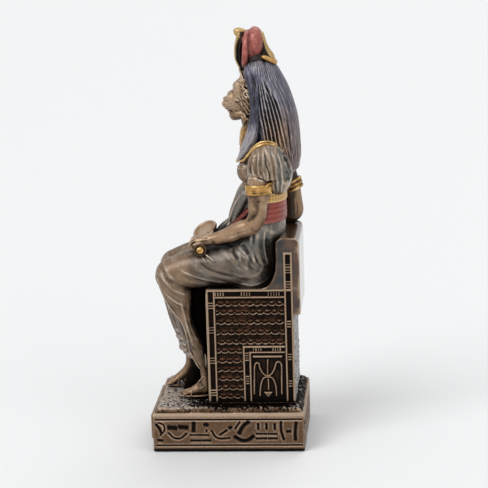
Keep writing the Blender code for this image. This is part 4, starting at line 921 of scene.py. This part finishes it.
def makeFeet():
    bm = bmesh.new()
    addLoft(bm, [
        (-3.3, -9, 10, 1.5, 1.6), (-3.3, -9.1, 7.4, 1.2, 1.15), (-3.3, -9.15, 5.8, 1.1, 1),
        (-3.35, -9.45, 4.2, 1.1, 1), (-3.4, -10.3, 2.9, 1.15, 1), (-3.4, -11.5, 1.9, 1.3, 0.9),
        (-3.4, -12.8, 1.05, 1.45, 0.7), (-3.4, -13.6, 0.75, 1.35, 0.5)])
    addBall(bm, (-3.3, -9.6, 1.1), (0.95, 1.5, 1.1))
    addLoft(bm, [
        (4.5, -5.4, 8, 1.2, 1.2), (4.5, -5.3, 4.6, 1, 0.95), (4.45, -5.2, 2.4, 1.1, 1),
        (4.4, -5.2, 1.2, 1.1, 0.9)])
    addLoft(bm, [
        (4.4, -5, 1.2, 1.05, 0.95), (4.4, -6.4, 1.55, 1.1, 1.25), (4.4, -8, 0.95, 1.25, 0.85),
        (4.4, -9.6, 0.6, 1.3, 0.5)])
    for centre, tipY in ((-3.4, -14.6), (4.4, -11)):
        for index in range(5):
            across = (index - 2) * 0.56
            back = 0.18 * index if centre > 0 else 0.18 * (4 - index)
            tip = centre + across * 1.05
            addStrand(bm, [(centre + across, tipY + 1.9, 0.65), (tip, tipY + 0.9 + back, 0.6),
                           (tip, tipY + 0.35 + back, 0.45)], limbs["toe"], 0.85, 12)
    obj = fuse("feet", bm, limbs["cell"])
    x, y, z = readMesh(obj)[0].T
    # painted shade on the far heel behind the shin, and darker at the very bottom
    farHeelShade = (x < 0) * (z < 3) * step(-11.2, -9.8, y - 0.5 * z)
    markWashAndShading(obj, 8, 5.5, tone=-0.4 * farHeelShade - 0.1 * (z < 1) - 0.13)
    settle(obj, bronze)

    bm = bmesh.new()
    strap = [(-1.4, -0.6, 0.4), (-1, -0.3, 1.5), (0, -0.2, 1.9), (1, -0.3, 1.5), (1.4, -0.6, 0.4)]
    for centre, front, rear in ((-3.4, -14.6, -8), (4.4, -11.2, -4.2)):
        middle = (front + rear) / 2
        half = (rear - front) / 2
        addLoft(bm, [(centre, middle, z, 1.55, half) for z in (0.02, 0.3)], sides=40, steps=1)
        addStrand(bm, [(centre + x, middle + y, z) for x, y, z in strap], 0.18, 0.9)
        addStrand(bm, [(centre, front + 1.1, 0.9), (centre, front + 2.2, 1.3),
                       (centre + 0.8, middle + 0.2, 1.9)], 0.18, 0.8)
        addStrand(bm, [(centre, front + 2.2, 1.3), (centre - 0.8, middle + 0.2, 1.9)], 0.18, 0.8)
    addStrand(bm, [
        (5.3, -5.4, 4.5), (5.5, -6.3, 3.6), (5.5, -6.95, 2.7), (5.5, -6.8, 2), (5.6, -6.2, 1.8),
        (5.5, -5.4, 2.3)], 0.17, 0.9)
    sandals = fuse("sandals", bm, limbs["sandalCell"], 1)
    # the far sandal is darker, painted shade
    markWashAndShading(sandals, 8, 5, tone=-0.13 - 0.15 * (readMesh(sandals)[0][:, 0] < 0))
    settle(sandals, bronze)


# Gold trim: collar, neckline cords, armbands and belt; and the red sash

gold = {"cell": 0.12, "sashCell": 0.15, "cord": 0.36, "innerCord": 0.28, "band": 0.34}


def makeGold():
    bm = bmesh.new()
    addLoft(bm, [
        (0, 6.2, 57.4, 3.1, 2.1), (0, 6, 56.3, 3.6, 2.3), (0, 5.8, 55, 4, 2.65), (0, 5.7, 53.2, 4.1, 2.8),
        (0, 5.6, 51.4, 4.1, 2.7), (0, 5.4, 50.2, 3.6, 2.5)])
    collar = fuse("collar", bm, gold["cell"])
    hang = [(-3.6, 0.9), (-1.8, -0.1), (0, -0.4), (1.8, -0.1), (3.6, 0.9)]
    sculpt(collar, [("front", [(x, z + drop) for x, drop in hang], 0.22, -0.12) for z in (51, 52.4, 56.6)])
    x, y, z = readMesh(collar)[0].T
    # the collar's sides, under the lappets, are darker as painted shade
    markWashAndShading(collar, 9, 6, tone=0.2 * (lattice(y, z, 0.7, 29) - 0.7) - 0.2 * step(1.8, 3.2, np.abs(x)))
    settle(collar, goldPaint)

    bm = bmesh.new()
    neck = [
        (2.8, 2.9, 49.7), (5.2, 4.1, 49.9), (6.7, 5.5, 51.7), (7.3, 7, 53), (7.3, 8.7, 53.6), (7, 10.7, 53.2),
        (6.6, 12.3, 51.9)]
    inner = [
        (2.6, 3.3, 50.1), (4.8, 4.8, 51), (6, 6.2, 52.7), (6.5, 7.8, 53.8), (6.4, 9.6, 53.9), (6, 11.2, 53.2)]
    for line, radius in ((neck, gold["cord"]), (inner, gold["innerCord"])):
        addStrand(bm, line, radius, 0.75)
        addStrand(bm, flip(line), radius, 0.75)
    addStrand(bm, [(-2.8, 2.9, 49.7), (0, 2.4, 49), (2.8, 2.9, 49.7)], gold["cord"], 0.9)
    cords = fuse("necklineCords", bm, gold["cell"], 1)
    x, y, z = readMesh(cords)[0].T
    markWashAndShading(cords, 8, 6.5, tone=0.4 * (lattice(y, z, 0.8, 26) - 0.65))
    settle(cords, goldPaint)

    bm = bmesh.new()
    lean = Matrix.Rotation(math.radians(3), 4, "X")
    for lift in (-0.75, -0.25, 0.25, 0.75):
        addRing(bm, (7.9, 7.2, 44.55 + lift), (2.02, 2.42), gold["band"], lean)
    knot = [
        (9.3, 8.2, 44.2), (9.7, 8.9, 45.3), (9.1, 9.7, 45.9), (8.6, 10, 45), (9.2, 9.4, 44), (9.7, 8.6, 44.6)]
    addStrand(bm, knot, gold["band"], 0.9)
    addStrand(bm, [(9.5, 8.2, 45.4), (9.6, 9.1, 44.7), (9, 9.9, 43.8)], 0.32, 0.8)
    addBall(bm, (9.15, 9.05, 44.9), (0.6, 0.95, 0.95))
    back = Matrix.Rotation(math.radians(24), 4, "X")
    for lift in (-0.8, 0, 0.8):
        addRing(bm, (-8, 13.35 - lift * 0.25, 42.3 + lift), (1.9, 1.8), gold["band"], back)
    bands = fuse("armbands", bm, gold["cell"], 1)
    x, y, z = readMesh(bands)[0].T
    markWashAndShading(bands, 8, 6.5, tone=0.6 * (lattice(y, z, 0.8, 27) - 0.75))
    settle(bands, goldPaint)

    bm = bmesh.new()
    addLoft(bm, [
        (0, 8.5, 41.2, 5.9, 3.65), (0, 8.5, 41.4, 6.2, 3.95), (0, 8.5, 42.95, 6.2, 3.95),
        (0, 8.5, 43.25, 5.8, 3.65)], sides=64, steps=3)
    belt = fuse("belt", bm, gold["cell"], 1)
    place, normal = readMesh(belt)
    x, y, z = place.T
    around = np.arctan2(x, y - 8.5) * 5.2
    weave = np.cos((around + z) * 5.2) * np.cos((around - z) * 5.2)
    rim = np.exp(-((np.abs(z - 42.2) - 0.86) / 0.16) ** 2)
    writeMesh(belt, place + normal * (weave * 0.05 + rim * 0.12)[:, None])
    markWashAndShading(belt, 8, 5, tone=0.13)
    settle(belt, goldPaint)

    bm = bmesh.new()
    addLoft(bm, [
        (0, 8.5, 41.8, 6, 3.7), (0, 8.4, 40.4, 6.35, 4), (0, 8.2, 38.8, 6.7, 4.25), (0, 8, 37.2, 6.9, 4.4),
        (0, 8, 36.9, 6.6, 4.2)], sides=64)
    addLoft(bm, [
        (5, 6.2, 40.2, 1, 0.9), (4.6, 4.8, 39.2, 1.5, 0.85), (4.2, 3.4, 37.9, 1.7, 0.8),
        (3.6, 1.9, 36.5, 1.7, 0.75), (3, 0.9, 35.6, 1.5, 0.6), (2.2, 0.2, 34.9, 1.2, 0.5)])
    sash = fuse("sash", bm, gold["sashCell"])
    strokes = []
    for z in (40, 39, 38):
        strokes += bothSides([("left", [(3, z), (7.5, z - 0.1), (12.4, z + 0.2)], 0.2, -0.05)])
        strokes.append(("back", [(-5, z), (0, z - 0.2), (5, z)], 0.2, -0.05))
    sculpt(sash, strokes)
    markWashAndShading(sash, 10, 4.5, tone=-0.28 * (1 - step(4.4, 5.4, readMesh(sash)[0][:, 1])))
    settle(sash, sashPaint)


# Ankh in the left hand: its stem ends in a round butt, and its loop lies on the lap

ankh = {"stemCell": 0.1, "loopCell": 0.11, "loop": (0.3, -4.75, 34.5), "tilt": (27, 25),
        "ring": (7.7, -5.15, 31.95)}


def makeAnkh():
    bm = bmesh.new()
    addLoft(bm, [
        (8.3, -5.05, 31.85, 0.5, 0.45), (8.15, -5.05, 31.85, 0.76, 0.64), (7.6, -5.1, 31.9, 0.85, 0.8),
        (6.8, -5.2, 31.7, 0.6, 0.6), (1.4, -4.7, 33.4, 0.6, 0.6)])
    stem = fuse("ankhStem", bm, ankh["stemCell"])
    place, normal = readMesh(stem)
    x, y, z = place.T
    dents = lattice(y, z, 0.42, 28) - 0.5
    writeMesh(stem, place + normal * (0.12 * dents * (x > 7))[:, None])
    markWashAndShading(stem, 8, 5, tone=0.5 * dents - 0.06)
    settle(stem, goldPaint)

    bm = bmesh.new()
    forward, sideways = [math.radians(angle) for angle in ankh["tilt"]]
    turn = Matrix.Rotation(forward, 4, "X") @ Matrix.Rotation(sideways, 4, "Y")
    addRing(bm, (0, 0, 0), (2.5, 2.5), 0.3)
    addLoft(bm, [(0, 0, -0.42, 2.3, 2.3), (0, 0, 0.05, 2.45, 2.45)], sides=40, steps=1)
    bmesh.ops.transform(bm, matrix=Matrix.Translation(ankh["loop"]) @ turn, verts=bm.verts)
    addStrand(bm, [(2.2, -6.4, 33.4), (2.1, -4.6, 33.6), (2.2, -2.8, 33.9)], 0.55, 0.7)
    addBall(bm, (0.4, -3.1, 34.1), (1.6, 1.3, 0.95))  # a dark lump behind the loop, painted as the shade there
    addRing(bm, ankh["ring"], (1.12, 1.15), 0.27, Matrix.Rotation(math.radians(90), 4, "Y"))
    addStrand(bm, [(7.9, -4.3, 31.3), (8.4, -3.3, 30.6), (8.6, -2.2, 29.7)], 0.2, 0.7)
    addStrand(bm, [(8, -4.9, 30.8), (8.5, -4.3, 30), (8.7, -3.8, 29.4)], 0.15, 0.7)
    loop = fuse("ankhLoop", bm, ankh["loopCell"])
    place, normal = readMesh(loop)
    x, y, z = place.T
    fromMiddle = np.hypot(x - ankh["loop"][0], y - ankh["loop"][1])
    # painted light on the loop's upward face, and painted shade on the lump behind the loop and on undersides
    # near it
    loopTopLight = np.clip(1.5 - fromMiddle / 1.6, 0, 1) * (normal[:, 2] > 0.4)
    buttRing = (x > 6) & (np.hypot(y - ankh["ring"][1], z - ankh["ring"][2]) < 1.6)
    loopShadowFill = (x < 2.2) & (((y > -3) & (fromMiddle > 2.3)) | ((normal[:, 2] < 0.1) & (y > -4)))
    markWashAndShading(loop, 8, 5, tone=-0.5 * buttRing + 0.14 * loopTopLight - 0.6 * loopShadowFill)
    settle(loop, bronze)


# Throne: block and back rest, side panels with frames, feather rows and the emblem

throne = {
    "halfWidth": 8.8, "front": -4.1, "back": 13.7, "seat": 23.8, "cell": 0.105,
    "slabFront": 10.6, "slabBack": 15.2, "slabFoot": 18.3, "backTop": 34.2, "roundTop": 1.2,
    "frame": 1.8, "ridge": 0.42, "postTop": 31.6, "postCell": 0.12, "feather": 1.5,
    # how high each row of feathers stands
    "feet": (20.4, 18.6, 16.5, 14.35, 12.3, 10.4, 8.3, 6.4, 4.5, 2.5, 0.7)}


def backRestOutline():
    t = throne
    points = []
    seatDepth, seatRise = 3.2, 5.6  # the curve from the seat up into the back rest
    # a quarter turn in six steps
    bends = [(1 - math.cos(i / 12 * math.pi), 1 - math.sin(i / 12 * math.pi)) for i in range(7)]
    for across, down in bends:
        points.append((t["slabBack"] - t["roundTop"] * across, t["backTop"] - t["roundTop"] * down))
    for across, down in bends:
        points.append((t["slabFront"] + t["roundTop"] * down, t["backTop"] - t["roundTop"] * across))
    for across, down in bends:
        points.append((t["slabFront"] - seatDepth * across, t["seat"] + seatRise * down))
    points += [(t["slabFront"] - seatDepth, t["seat"] - 1), (t["back"] - 1, t["seat"] - 1),
               (t["back"] - 1, t["slabFoot"]), (t["slabBack"], t["slabFoot"])]
    return points


def addBox(bm, low, high):
    size = Vector(high) - Vector(low)
    matrix = Matrix.Translation((Vector(low) + Vector(high)) / 2) @ Matrix.Diagonal((*size, 1))
    bmesh.ops.create_cube(bm, size=1.0, matrix=matrix)


def makeThroneBlock():
    t = throne
    inset = 0.15  # the block stays this far behind the side panels
    half = t["halfWidth"] - inset
    bm = bmesh.new()
    addBox(bm, (-half, t["front"], -0.5), (half, t["back"], t["seat"]))
    face = bm.faces.new([bm.verts.new((-half - inset, y, z)) for y, z in backRestOutline()])
    grown = bmesh.ops.extrude_face_region(bm, geom=[face])["geom"]
    moved = [part for part in grown if isinstance(part, bmesh.types.BMVert)]
    bmesh.ops.translate(bm, verts=moved, vec=(2 * (half + inset), 0, 0))
    for side in (-1, 1):  # a fine raised edge round the back rest
        edge = [(side * (half + 0.08), y, z) for y, z in backRestOutline()[3:21]]
        addStrand(bm, edge, 0.3, 0.9, 8, 1)
    obj = fuse("throneBlock", bm, 0.2, 1)
    place, normal = readMesh(obj)
    x, y, z = place.T
    rearFace = (normal[:, 1] > 0.5) * (y > 12)
    rough = lattice(x, z, 0.45, 5) + 0.6 * lattice(x, z, 0.22, 6) - 0.8
    push = rearFace * (z < t["slabFoot"]) * rough * 0.28
    frontFace = (normal[:, 1] < -0.5) * (y < t["front"] + 0.4)
    push += frontFace * (panelFrame(np.abs(x) - 7, z, 1.7, 23) - 0.2) * 0.35
    writeMesh(obj, place + normal * push[:, None])
    # painted shade on the faces that do not look sideways, round the seat and the back rest where the figure
    # sits
    inside = (np.abs(normal[:, 0]) < 0.5) * (y < t["slabBack"] - 0.3) * (z < t["backTop"] - 0.8)
    # a random cloudy tone on the sides, and darker towards the front of the back rest
    sideTone = 0.5 * (lattice(y, z, 1.6, 71) - 0.6) * (np.abs(normal[:, 0]) > 0.5)
    sideTone -= 0.2 * (1 - step(11.4, 13.2, y)) * (np.abs(normal[:, 0]) > 0.5) * (y > 7)
    markWashAndShading(obj, 8, 4.5, tone=sideTone - 0.1 * rearFace * (z < t["slabFoot"]) - 0.25 * inside)
    settle(obj, backRestPaint)


def panelFrame(u, v, width, height):  # an upright post: two ridges and groups of cross bars
    ridge = throne["ridge"] / 2
    post = bar(u, v, 0, 2 * ridge, 0, height) + bar(u, v, width - 2 * ridge, width, 0, height)
    return np.clip(post + crossBars(u, v, 2 * ridge, width - 2 * ridge, (20.5, 15.3, 8.8, 1.9)), 0, 1)


def crossBars(u, v, uLow, uHigh, heights, count=3, pitch=0.55):
    out = np.zeros_like(u)
    for middle in heights:
        for index in range(count):
            centre = middle + (index - (count - 1) / 2) * pitch
            out += bar(u, v, uLow, uHigh, centre - 0.12, centre + 0.12, 0.08)
    return out


def sideRelief(u, v):
    # u runs back from the front edge and v up from the ground, both in millimetres
    t = throne
    depth = t["back"] - t["front"]
    wide = t["frame"]
    line = t["ridge"]
    squareU = 7.2  # where the corner panel starts
    squareV = 11.9  # and its height
    worn = lattice(u, v, 0.8, 51)
    raised = np.zeros_like(u)
    field = (u > wide) & (u < depth - wide) & (v < t["seat"] - wide) & ~((u > squareU) & (v < squareV))
    for index, foot in enumerate(t["feet"]):  # feather rows, each half a feather on from the last
        across = (u - 2.19 + (index % 2) * 0.62 * t["feather"]) / t["feather"]
        swing = 2 * (across - np.floor(across)) - 1  # -1 to 1 over one feather
        edge = foot + 0.5 * (1 - np.sqrt(np.clip(1 - swing ** 2, 0, 1)))
        ridge = np.exp(-((v - edge) / 0.15) ** 2) * (0.65 + 0.5 * worn)
        second = np.exp(-((v - edge - 0.75 + 0.3 * swing ** 2) / 0.24) ** 2)
        second *= 0.2 + 0.5 * lattice(u, v, 0.55, 52)
        rib = 0.25 * np.exp(-(swing / 0.3) ** 2) * (v > edge) * (v < edge + 1.1)
        row = field * (v < foot + 1.85) * (v > foot - 0.4)
        raised += (ridge * 0.34 + (second * 0.3 + rib * 0.2) * (1 - np.abs(swing) ** 3)) * row
    raised += field * 0.09 * (lattice(u, v, 0.3, 53) - 0.5)
    emblem = (u > squareU + 1.7) & (u < depth - wide) & (v < squareV - 1.5)
    draw = bar(u, v, 9.24, 15.32, 9.4, 9.82) + lineOn(u, v, [(12.3, 8.9), (12.22, 7.2), (12.2, 5.8)], 0.15)
    for drawn in (
            [(9.34, 1.6), (9.38, 3.4), (9.43, 5.1), (9.54, 7.4), (9.88, 8.2), (10.46, 8.1), (10.66, 7.1),
             (11.3, 5.95), (12.2, 5.35)],
            [(15.04, 1.6), (15.06, 3.4), (15.08, 5.1), (15.11, 7.7), (14.65, 8.45), (14.02, 8.2), (13.6, 6.9),
             (13, 5.9), (12.2, 5.35)],
            [(12.2, 5.35), (11.3, 4.94), (10.82, 3.8), (10.6, 2.4), (10.54, 1.2)],
            [(12.2, 5.35), (13.2, 4.93), (13.77, 3.6), (13.9, 2.4), (13.92, 1.2)]):
        draw += lineOn(u, v, drawn, 0.19)
    draw += lineOn(u, v, [(12.3, 4.8), (12.32, 3.6), (12.32, 2.5)], 0.13) + bar(u, v, 11.8, 12.6, 5.15, 5.5)
    heart = (v < 2.1) & (v > 0.85) & (np.abs(u - 12.24) < (v - 0.85) * 0.78)
    raised += 0.36 * np.clip(draw + heart, 0, 1) * emblem
    seat = t["seat"]
    rear = depth - wide
    posts = [
        panelFrame(u, v, wide, seat),
        crossBars(u, v, rear + line, depth - line, (16.5, 9.5, 3.8)),
        crossBars(u, v, squareU + line, squareU + 1.3, (9.6, 4.6), 4, 0.5),
        crossBars(v, u, squareV - 1.2, squareV - line, (10.2, 14.2), 4, 0.5)]
    posts += [bar(u, v, *edges) for edges in (
        (rear, rear + line, 0, seat), (depth - line, depth, 0, seat), (0, depth, seat - line, seat),
        (wide - line, rear + line, seat - wide, seat - wide + line), (squareU, squareU + line, 0, squareV),
        (squareU + 1.3, squareU + 1.7, 0, squareV - 1.3), (squareU, rear, squareV - line, squareV),
        (squareU + 1.3, rear, squareV - 1.55, squareV - 1.2))]
    for middle, count in ((2.7, 4), (8.1, 4), (13.9, 5)):  # the bars of the top rail
        posts.append(crossBars(v, u, seat - wide + line, seat - line, (middle,), count))
    return np.maximum(raised, np.maximum.reduce(posts) * (0.36 + 0.1 * worn))


def makePanel(name, low, high, side, reliefAt, cell):
    # a fine sheet with its relief, folded back at the rim and closed behind
    bm = bmesh.new()
    width = high[0] - low[0]
    height = high[1] - low[1]
    columns, rows = [int(size / cell / coarse) for size in (width, height)]
    bmesh.ops.create_grid(bm, x_segments=columns, y_segments=rows, size=0.5,
                          matrix=Matrix.Diagonal((width, height, 1, 1)))
    rim = [edge for edge in bm.edges if len(edge.link_faces) == 1]
    grown = bmesh.ops.extrude_edge_only(bm, edges=rim)["geom"]
    foldedBack = [part for part in grown if isinstance(part, bmesh.types.BMVert)]
    bmesh.ops.translate(bm, verts=foldedBack, vec=(0, 0, -0.7))
    bmesh.ops.contextual_create(bm, geom=[part for part in grown if isinstance(part, bmesh.types.BMEdge)])
    turn = Matrix(((0, 0, side, side * throne["halfWidth"]), (1, 0, 0, (low[0] + high[0]) / 2),
                   (0, 1, 0, (low[1] + high[1]) / 2), (0, 0, 0, 1)))
    obj = toObject(name, bm, gridToWorld @ turn)
    place = readMesh(obj)[0]
    outer = np.abs(place[:, 0]) > throne["halfWidth"] - 0.01
    u = place[:, 1] - throne["front"]
    v = place[:, 2]
    raised = reliefAt(u, v) * outer
    place[:, 0] += side * raised
    writeMesh(obj, place)
    markWashAndShading(obj, 7, 5.5, tone=(raised - 0.24) * 1.25 - 0.12 * (1 - step(0, 2, v)), lift=0)
    settle(obj, throneBronze)


def postRelief(u, v):  # the rear post runs on up the back rest
    depth = throne["back"] - throne["front"]
    inner = depth - throne["frame"]
    line = throne["ridge"]
    foot = 20
    top = throne["postTop"] - 0.1
    post = bar(u, v, inner, inner + line, foot, top) + bar(u, v, depth - line, depth, foot, top)
    post += bar(u, v, inner, depth, top - 0.4, top)
    post += crossBars(u, v, inner + line, depth - line, (28.2, 24.6), 4)
    return 0.42 * np.clip(post, 0, 1) + 0.06


def makeThrone():
    makeThroneBlock()
    t = throne
    for side, word in ((1, "Left"), (-1, "Right")):
        makePanel("sidePanel" + word, (t["front"], -0.4), (t["back"], t["seat"]), side, sideRelief, t["cell"])
        makePanel("rearPost" + word, (t["back"] - t["frame"], t["seat"] - 0.1), (t["back"], t["postTop"]),
                  side, postRelief, t["postCell"])


# Plinth: block with cut strokes, border lines, a raised front panel and rough ground

plinth = {"length": 31.5, "width": 26, "height": 8.3, "edge": 0.45, "cell": 0.13, "rise": 1.2,
          "slopeFrom": 0.5, "slopeTo": 1.7, "lines": (1.45, 7), "lineCut": 0.3, "strokeCut": 0.34,
          "panel": (-10.8, 10.8, 2.2, 7.4), "panelRise": 0.6, "panelCut": 0.22}

# the cut signs, which are no letters: the points of each stroke, along and up, and its width
plainStrokes = [
    ([(0.9, 5.9), (1.5, 5), (1.8, 4.2)], 0.3), ([(1.3, 6.3), (2.3, 5.9), (2.5, 4.8), (1.6, 3.7)], 0.17),
    ([(1.2, 2.6), (1.9, 2.5)], 0.26), ([(3.5, 5.3), (4.8, 5.2)], 0.5), ([(5.7, 5.4), (7, 5.3)], 0.5),
    ([(3.4, 4.1), (4.4, 3.1), (5.8, 3), (7, 4)], 0.19), ([(8.6, 6.2), (8.5, 4.6)], 0.42),
    ([(7.9, 3.7), (11.5, 3.65)], 0.19), ([(8, 2.5), (11.9, 2.5)], 0.22), ([(11, 5.9), (11.3, 5.9)], 0.42),
    ([(11.2, 4.8), (11.2, 4.4)], 0.16), ([(12.3, 4.6), (13, 3.3), (14.2, 2.9), (15.9, 3)], 0.2),
    ([(14, 3.7), (14.7, 4.2), (15.4, 4.7)], 0.22), ([(16, 5.2), (16.2, 5.3)], 0.34),
    ([(17.2, 5.1), (18.1, 6.4)], 0.2), ([(18, 4.1), (18.7, 5.4), (19.8, 6.4)], 0.42),
    ([(17.2, 3.2), (18.4, 2.5), (19.6, 2.5), (20.8, 3.3)], 0.42), ([(21.9, 6), (21.9, 5)], 0.22),
    ([(23.6, 6), (23.6, 5)], 0.22), ([(25.3, 6), (25.3, 5)], 0.22), ([(21.5, 3.9), (25.6, 3.85)], 0.2),
    ([(21.5, 2.9), (25.6, 2.9)], 0.22), ([(26.6, 6.4), (26.6, 4.6), (27.1, 2.8)], 0.26),
    ([(27.9, 4.4), (28.4, 4.4)], 0.3), ([(29.7, 6.2), (29.5, 4.4), (29.5, 2.7)], 0.32)]


def strokeBand(along, up, first, last):  # the strokes that fit between two places
    out = np.zeros_like(along)
    for points, width in plainStrokes:
        if min(p[0] for p in points) > first and max(p[0] for p in points) < last:
            out = np.maximum(out, lineOn(along, up, points, width))
    return out


def makePlinth():
    p = plinth
    length, width, height = p["length"], p["width"], p["height"]
    sizes = (width, length, height)
    counts = [int(round(size / p["cell"]) / coarse) for size in sizes]
    bm = bmesh.new()
    # five fine sheets: the way each faces, which two of the sizes it has, and how it is turned
    for out, one, two, turn, axis in (((0, 0, 1), 0, 1, 0, "X"), ((1, 0, 0), 2, 1, 90, "Y"),
                                      ((-1, 0, 0), 2, 1, -90, "Y"), ((0, 1, 0), 0, 2, -90, "X"),
                                      ((0, -1, 0), 0, 2, 90, "X")):
        away = Vector([side * size / 2 for side, size in zip(out, sizes)])
        spin = Matrix.Rotation(math.radians(turn), 4, axis)
        matrix = Matrix.Translation(away) @ spin @ Matrix.Diagonal((sizes[one], sizes[two], 1, 1))
        bmesh.ops.create_grid(bm, x_segments=counts[one], y_segments=counts[two], size=0.5, matrix=matrix)
    bmesh.ops.remove_doubles(bm, verts=bm.verts, dist=0.01)
    bmesh.ops.contextual_create(bm, geom=[edge for edge in bm.edges if len(edge.link_faces) == 1])
    obj = toObject("plinthBlock", bm)
    place = readMesh(obj)[0]
    half = np.array((width / 2, length / 2, height / 2))
    core = np.clip(place, -half + p["edge"], half - p["edge"])
    out = place - core
    out /= np.maximum(np.linalg.norm(out, axis=1), 1e-9)[:, None]
    x, y, z = place.T
    up = z + height / 2
    cuts = np.zeros(len(place))
    near = 1e-3
    lead = 3  # how far along the row of strokes the front and the back start
    for face, along, span, first in ((x > half[0] - near, y + half[1], length, 0),
                                     (x < near - half[0], half[1] - y, length, 0),
                                     (y > half[1] - near, half[0] - x + lead, width, lead + 0.2)):
        cut = strokeBand(along, up, first, first + span - 0.8) * p["strokeCut"]
        for line in p["lines"]:
            cut = np.maximum(cut, p["lineCut"] * bar(along - (lead if first else 0), up, 0.6, span - 0.5,
                                                     line - 0.13, line + 0.13, 0.1))
        cuts += cut * face
    front = y < near - half[1]
    panel = bar(x, up, *p["panel"], 0.14)
    cuts += front * p["panelCut"] * panel * strokeBand(x + half[0] + lead, up * 1.05 - 0.3, 5.6, 25.8)
    push = p["panelRise"] * panel * front - cuts
    sides = (np.abs(x) > half[0] - near) | (np.abs(y) > half[1] - near)
    push += sides * (0.1 * (lattice(x, y, 3, 61) - 0.5) - 0.1)
    inward = np.minimum(half[0] - np.abs(x), half[1] - np.abs(y))
    ground = (z > half[2] - near) * step(p["slopeFrom"], p["slopeTo"], inward + 0.5 * lattice(x, y, 2.2, 3))
    chips = (lattice(x, y, 0.9, 11) + 0.8 * lattice(x, y, 0.45, 12)
             + 0.7 * lattice(x, y, 0.26, 13)) / 2.5
    push += ground * (p["rise"] - 0.62 * (1 - chips))
    place = core + out * p["edge"] + out * push[:, None]
    place[:, 2] += height / 2 - figureBase / mm
    place[:, 2] = np.maximum(place[:, 2], -figureBase / mm)
    writeMesh(obj, place)
    worn = step(8.2, 10.2, np.abs(x)) * step(-8, -3, y) * (1 - step(11, 15, y))  # browner and darker beside the throne: painted shade
    grey = step(0.75, 1, ground) * (0.7 + 0.6 * lattice(x, y, 3, 62)) * (1 - 0.85 * worn)
    setAttribute(obj, "patch", np.clip(grey, 0, 1))
    # darker along the bottom, a painted highlight along the top edge of the sides, and painted shade on the
    # ground round the throne's foot
    foot = -0.7 * (1 - step(0.2, 0.9, up)) + 0.3 * step(height - 1, height - 0.5, up) * (ground < 0.1)
    behind = y - throne["back"]
    ahead = throne["front"] - 1.9 - y
    toThrone = np.hypot(np.maximum(np.abs(x) - throne["halfWidth"], 0),
                        np.maximum(np.maximum(ahead, behind), 0))
    foot -= ground * 0.6 * (1 - step(0.8, 4, toThrone)) * (0.6 + 0.7 * lattice(x, y, 0.8, 63))
    foot += ground * ((0.95 - 0.7 * worn) * (chips - 0.49) - 0.16 * worn)
    markWashAndShading(obj, 8, 6, lift=0, tone=foot - 0.95 * cuts)
    settle(obj, plinthBronze, "plinth_resin")


# Studio: pale floor, soft light and the camera at the photograph's angle

studio = {
    "azimuth": 94.83, "elevation": 12.76, "roll": -1.71, "distance": 0.4, "lens": 141.9, "sensor": 36,
    "target": (0, 0.00326, 0.04105), "floor": rgb(232, 233, 234), "floorHalf": 6, "floorRoughness": 0.6,
    "sky": 0.6,
    # name, where it shines from, power and angular size
    "lamps": [("key", (0.8, -0.7, 1.1), 1.5, 35), ("fill", (0.9, 0.8, 0.7), 0.5, 50),
              ("rear", (-0.8, 0.3, 1), 0.5, 40)]}


def makeStudio():
    scene = bpy.context.scene
    scene.view_settings.view_transform = "Standard"
    side = math.radians(studio["azimuth"])
    lift = math.radians(studio["elevation"])
    back = Vector((math.sin(side) * math.cos(lift), -math.cos(side) * math.cos(lift), math.sin(lift)))
    right = (-back).cross(Vector((0, 0, 1))).normalized()
    up = right.cross(-back)
    roll = math.radians(studio["roll"])
    right, up = (right * math.cos(roll) + up * math.sin(roll), up * math.cos(roll) - right * math.sin(roll))
    data = bpy.data.cameras.new("camera")
    data.lens = studio["lens"]
    data.sensor_width = studio["sensor"]
    data.clip_start = 0.01
    eye = bpy.data.objects.new("camera", data)
    eye.matrix_world = (Matrix.Translation(Vector(studio["target"]) + back * studio["distance"])
                        @ Matrix((right, up, back)).transposed().to_4x4())
    scene.collection.objects.link(eye)
    scene.camera = eye

    bm = bmesh.new()
    bmesh.ops.create_grid(bm, x_segments=1, y_segments=1, size=studio["floorHalf"])
    floor = toObject("floor", bm, Matrix())
    floorPaint = bpy.data.materials.new("floorPaint")
    floorPaint.use_nodes = True
    surface = floorPaint.node_tree.nodes["Principled BSDF"]
    surface.inputs["Base Color"].default_value = studio["floor"]
    surface.inputs["Roughness"].default_value = studio["floorRoughness"]
    floor.data.materials.append(floorPaint)

    world = bpy.data.worlds.new("studio")
    world.use_nodes = True
    sky = world.node_tree.nodes["Background"]
    sky.inputs["Color"].default_value = (1, 1, 1, 1)
    sky.inputs["Strength"].default_value = studio["sky"]
    scene.world = world
    for name, towards, power, wide in studio["lamps"]:
        lamp = bpy.data.lights.new(name, "SUN")
        lamp.energy = power
        lamp.angle = math.radians(wide)
        holder = bpy.data.objects.new(name, lamp)
        holder.matrix_world = (-Vector(towards)).to_track_quat("-Z", "Y").to_matrix().to_4x4()
        scene.collection.objects.link(holder)


makeStudio()
print("studio ready")
makeHead()
makeWig()
makeCrown()
makeBodice()
makeSkirt()
makeArms()
makeFeet()
makeGold()
makeAnkh()
makeThrone()
makePlinth()
print("all pieces made")
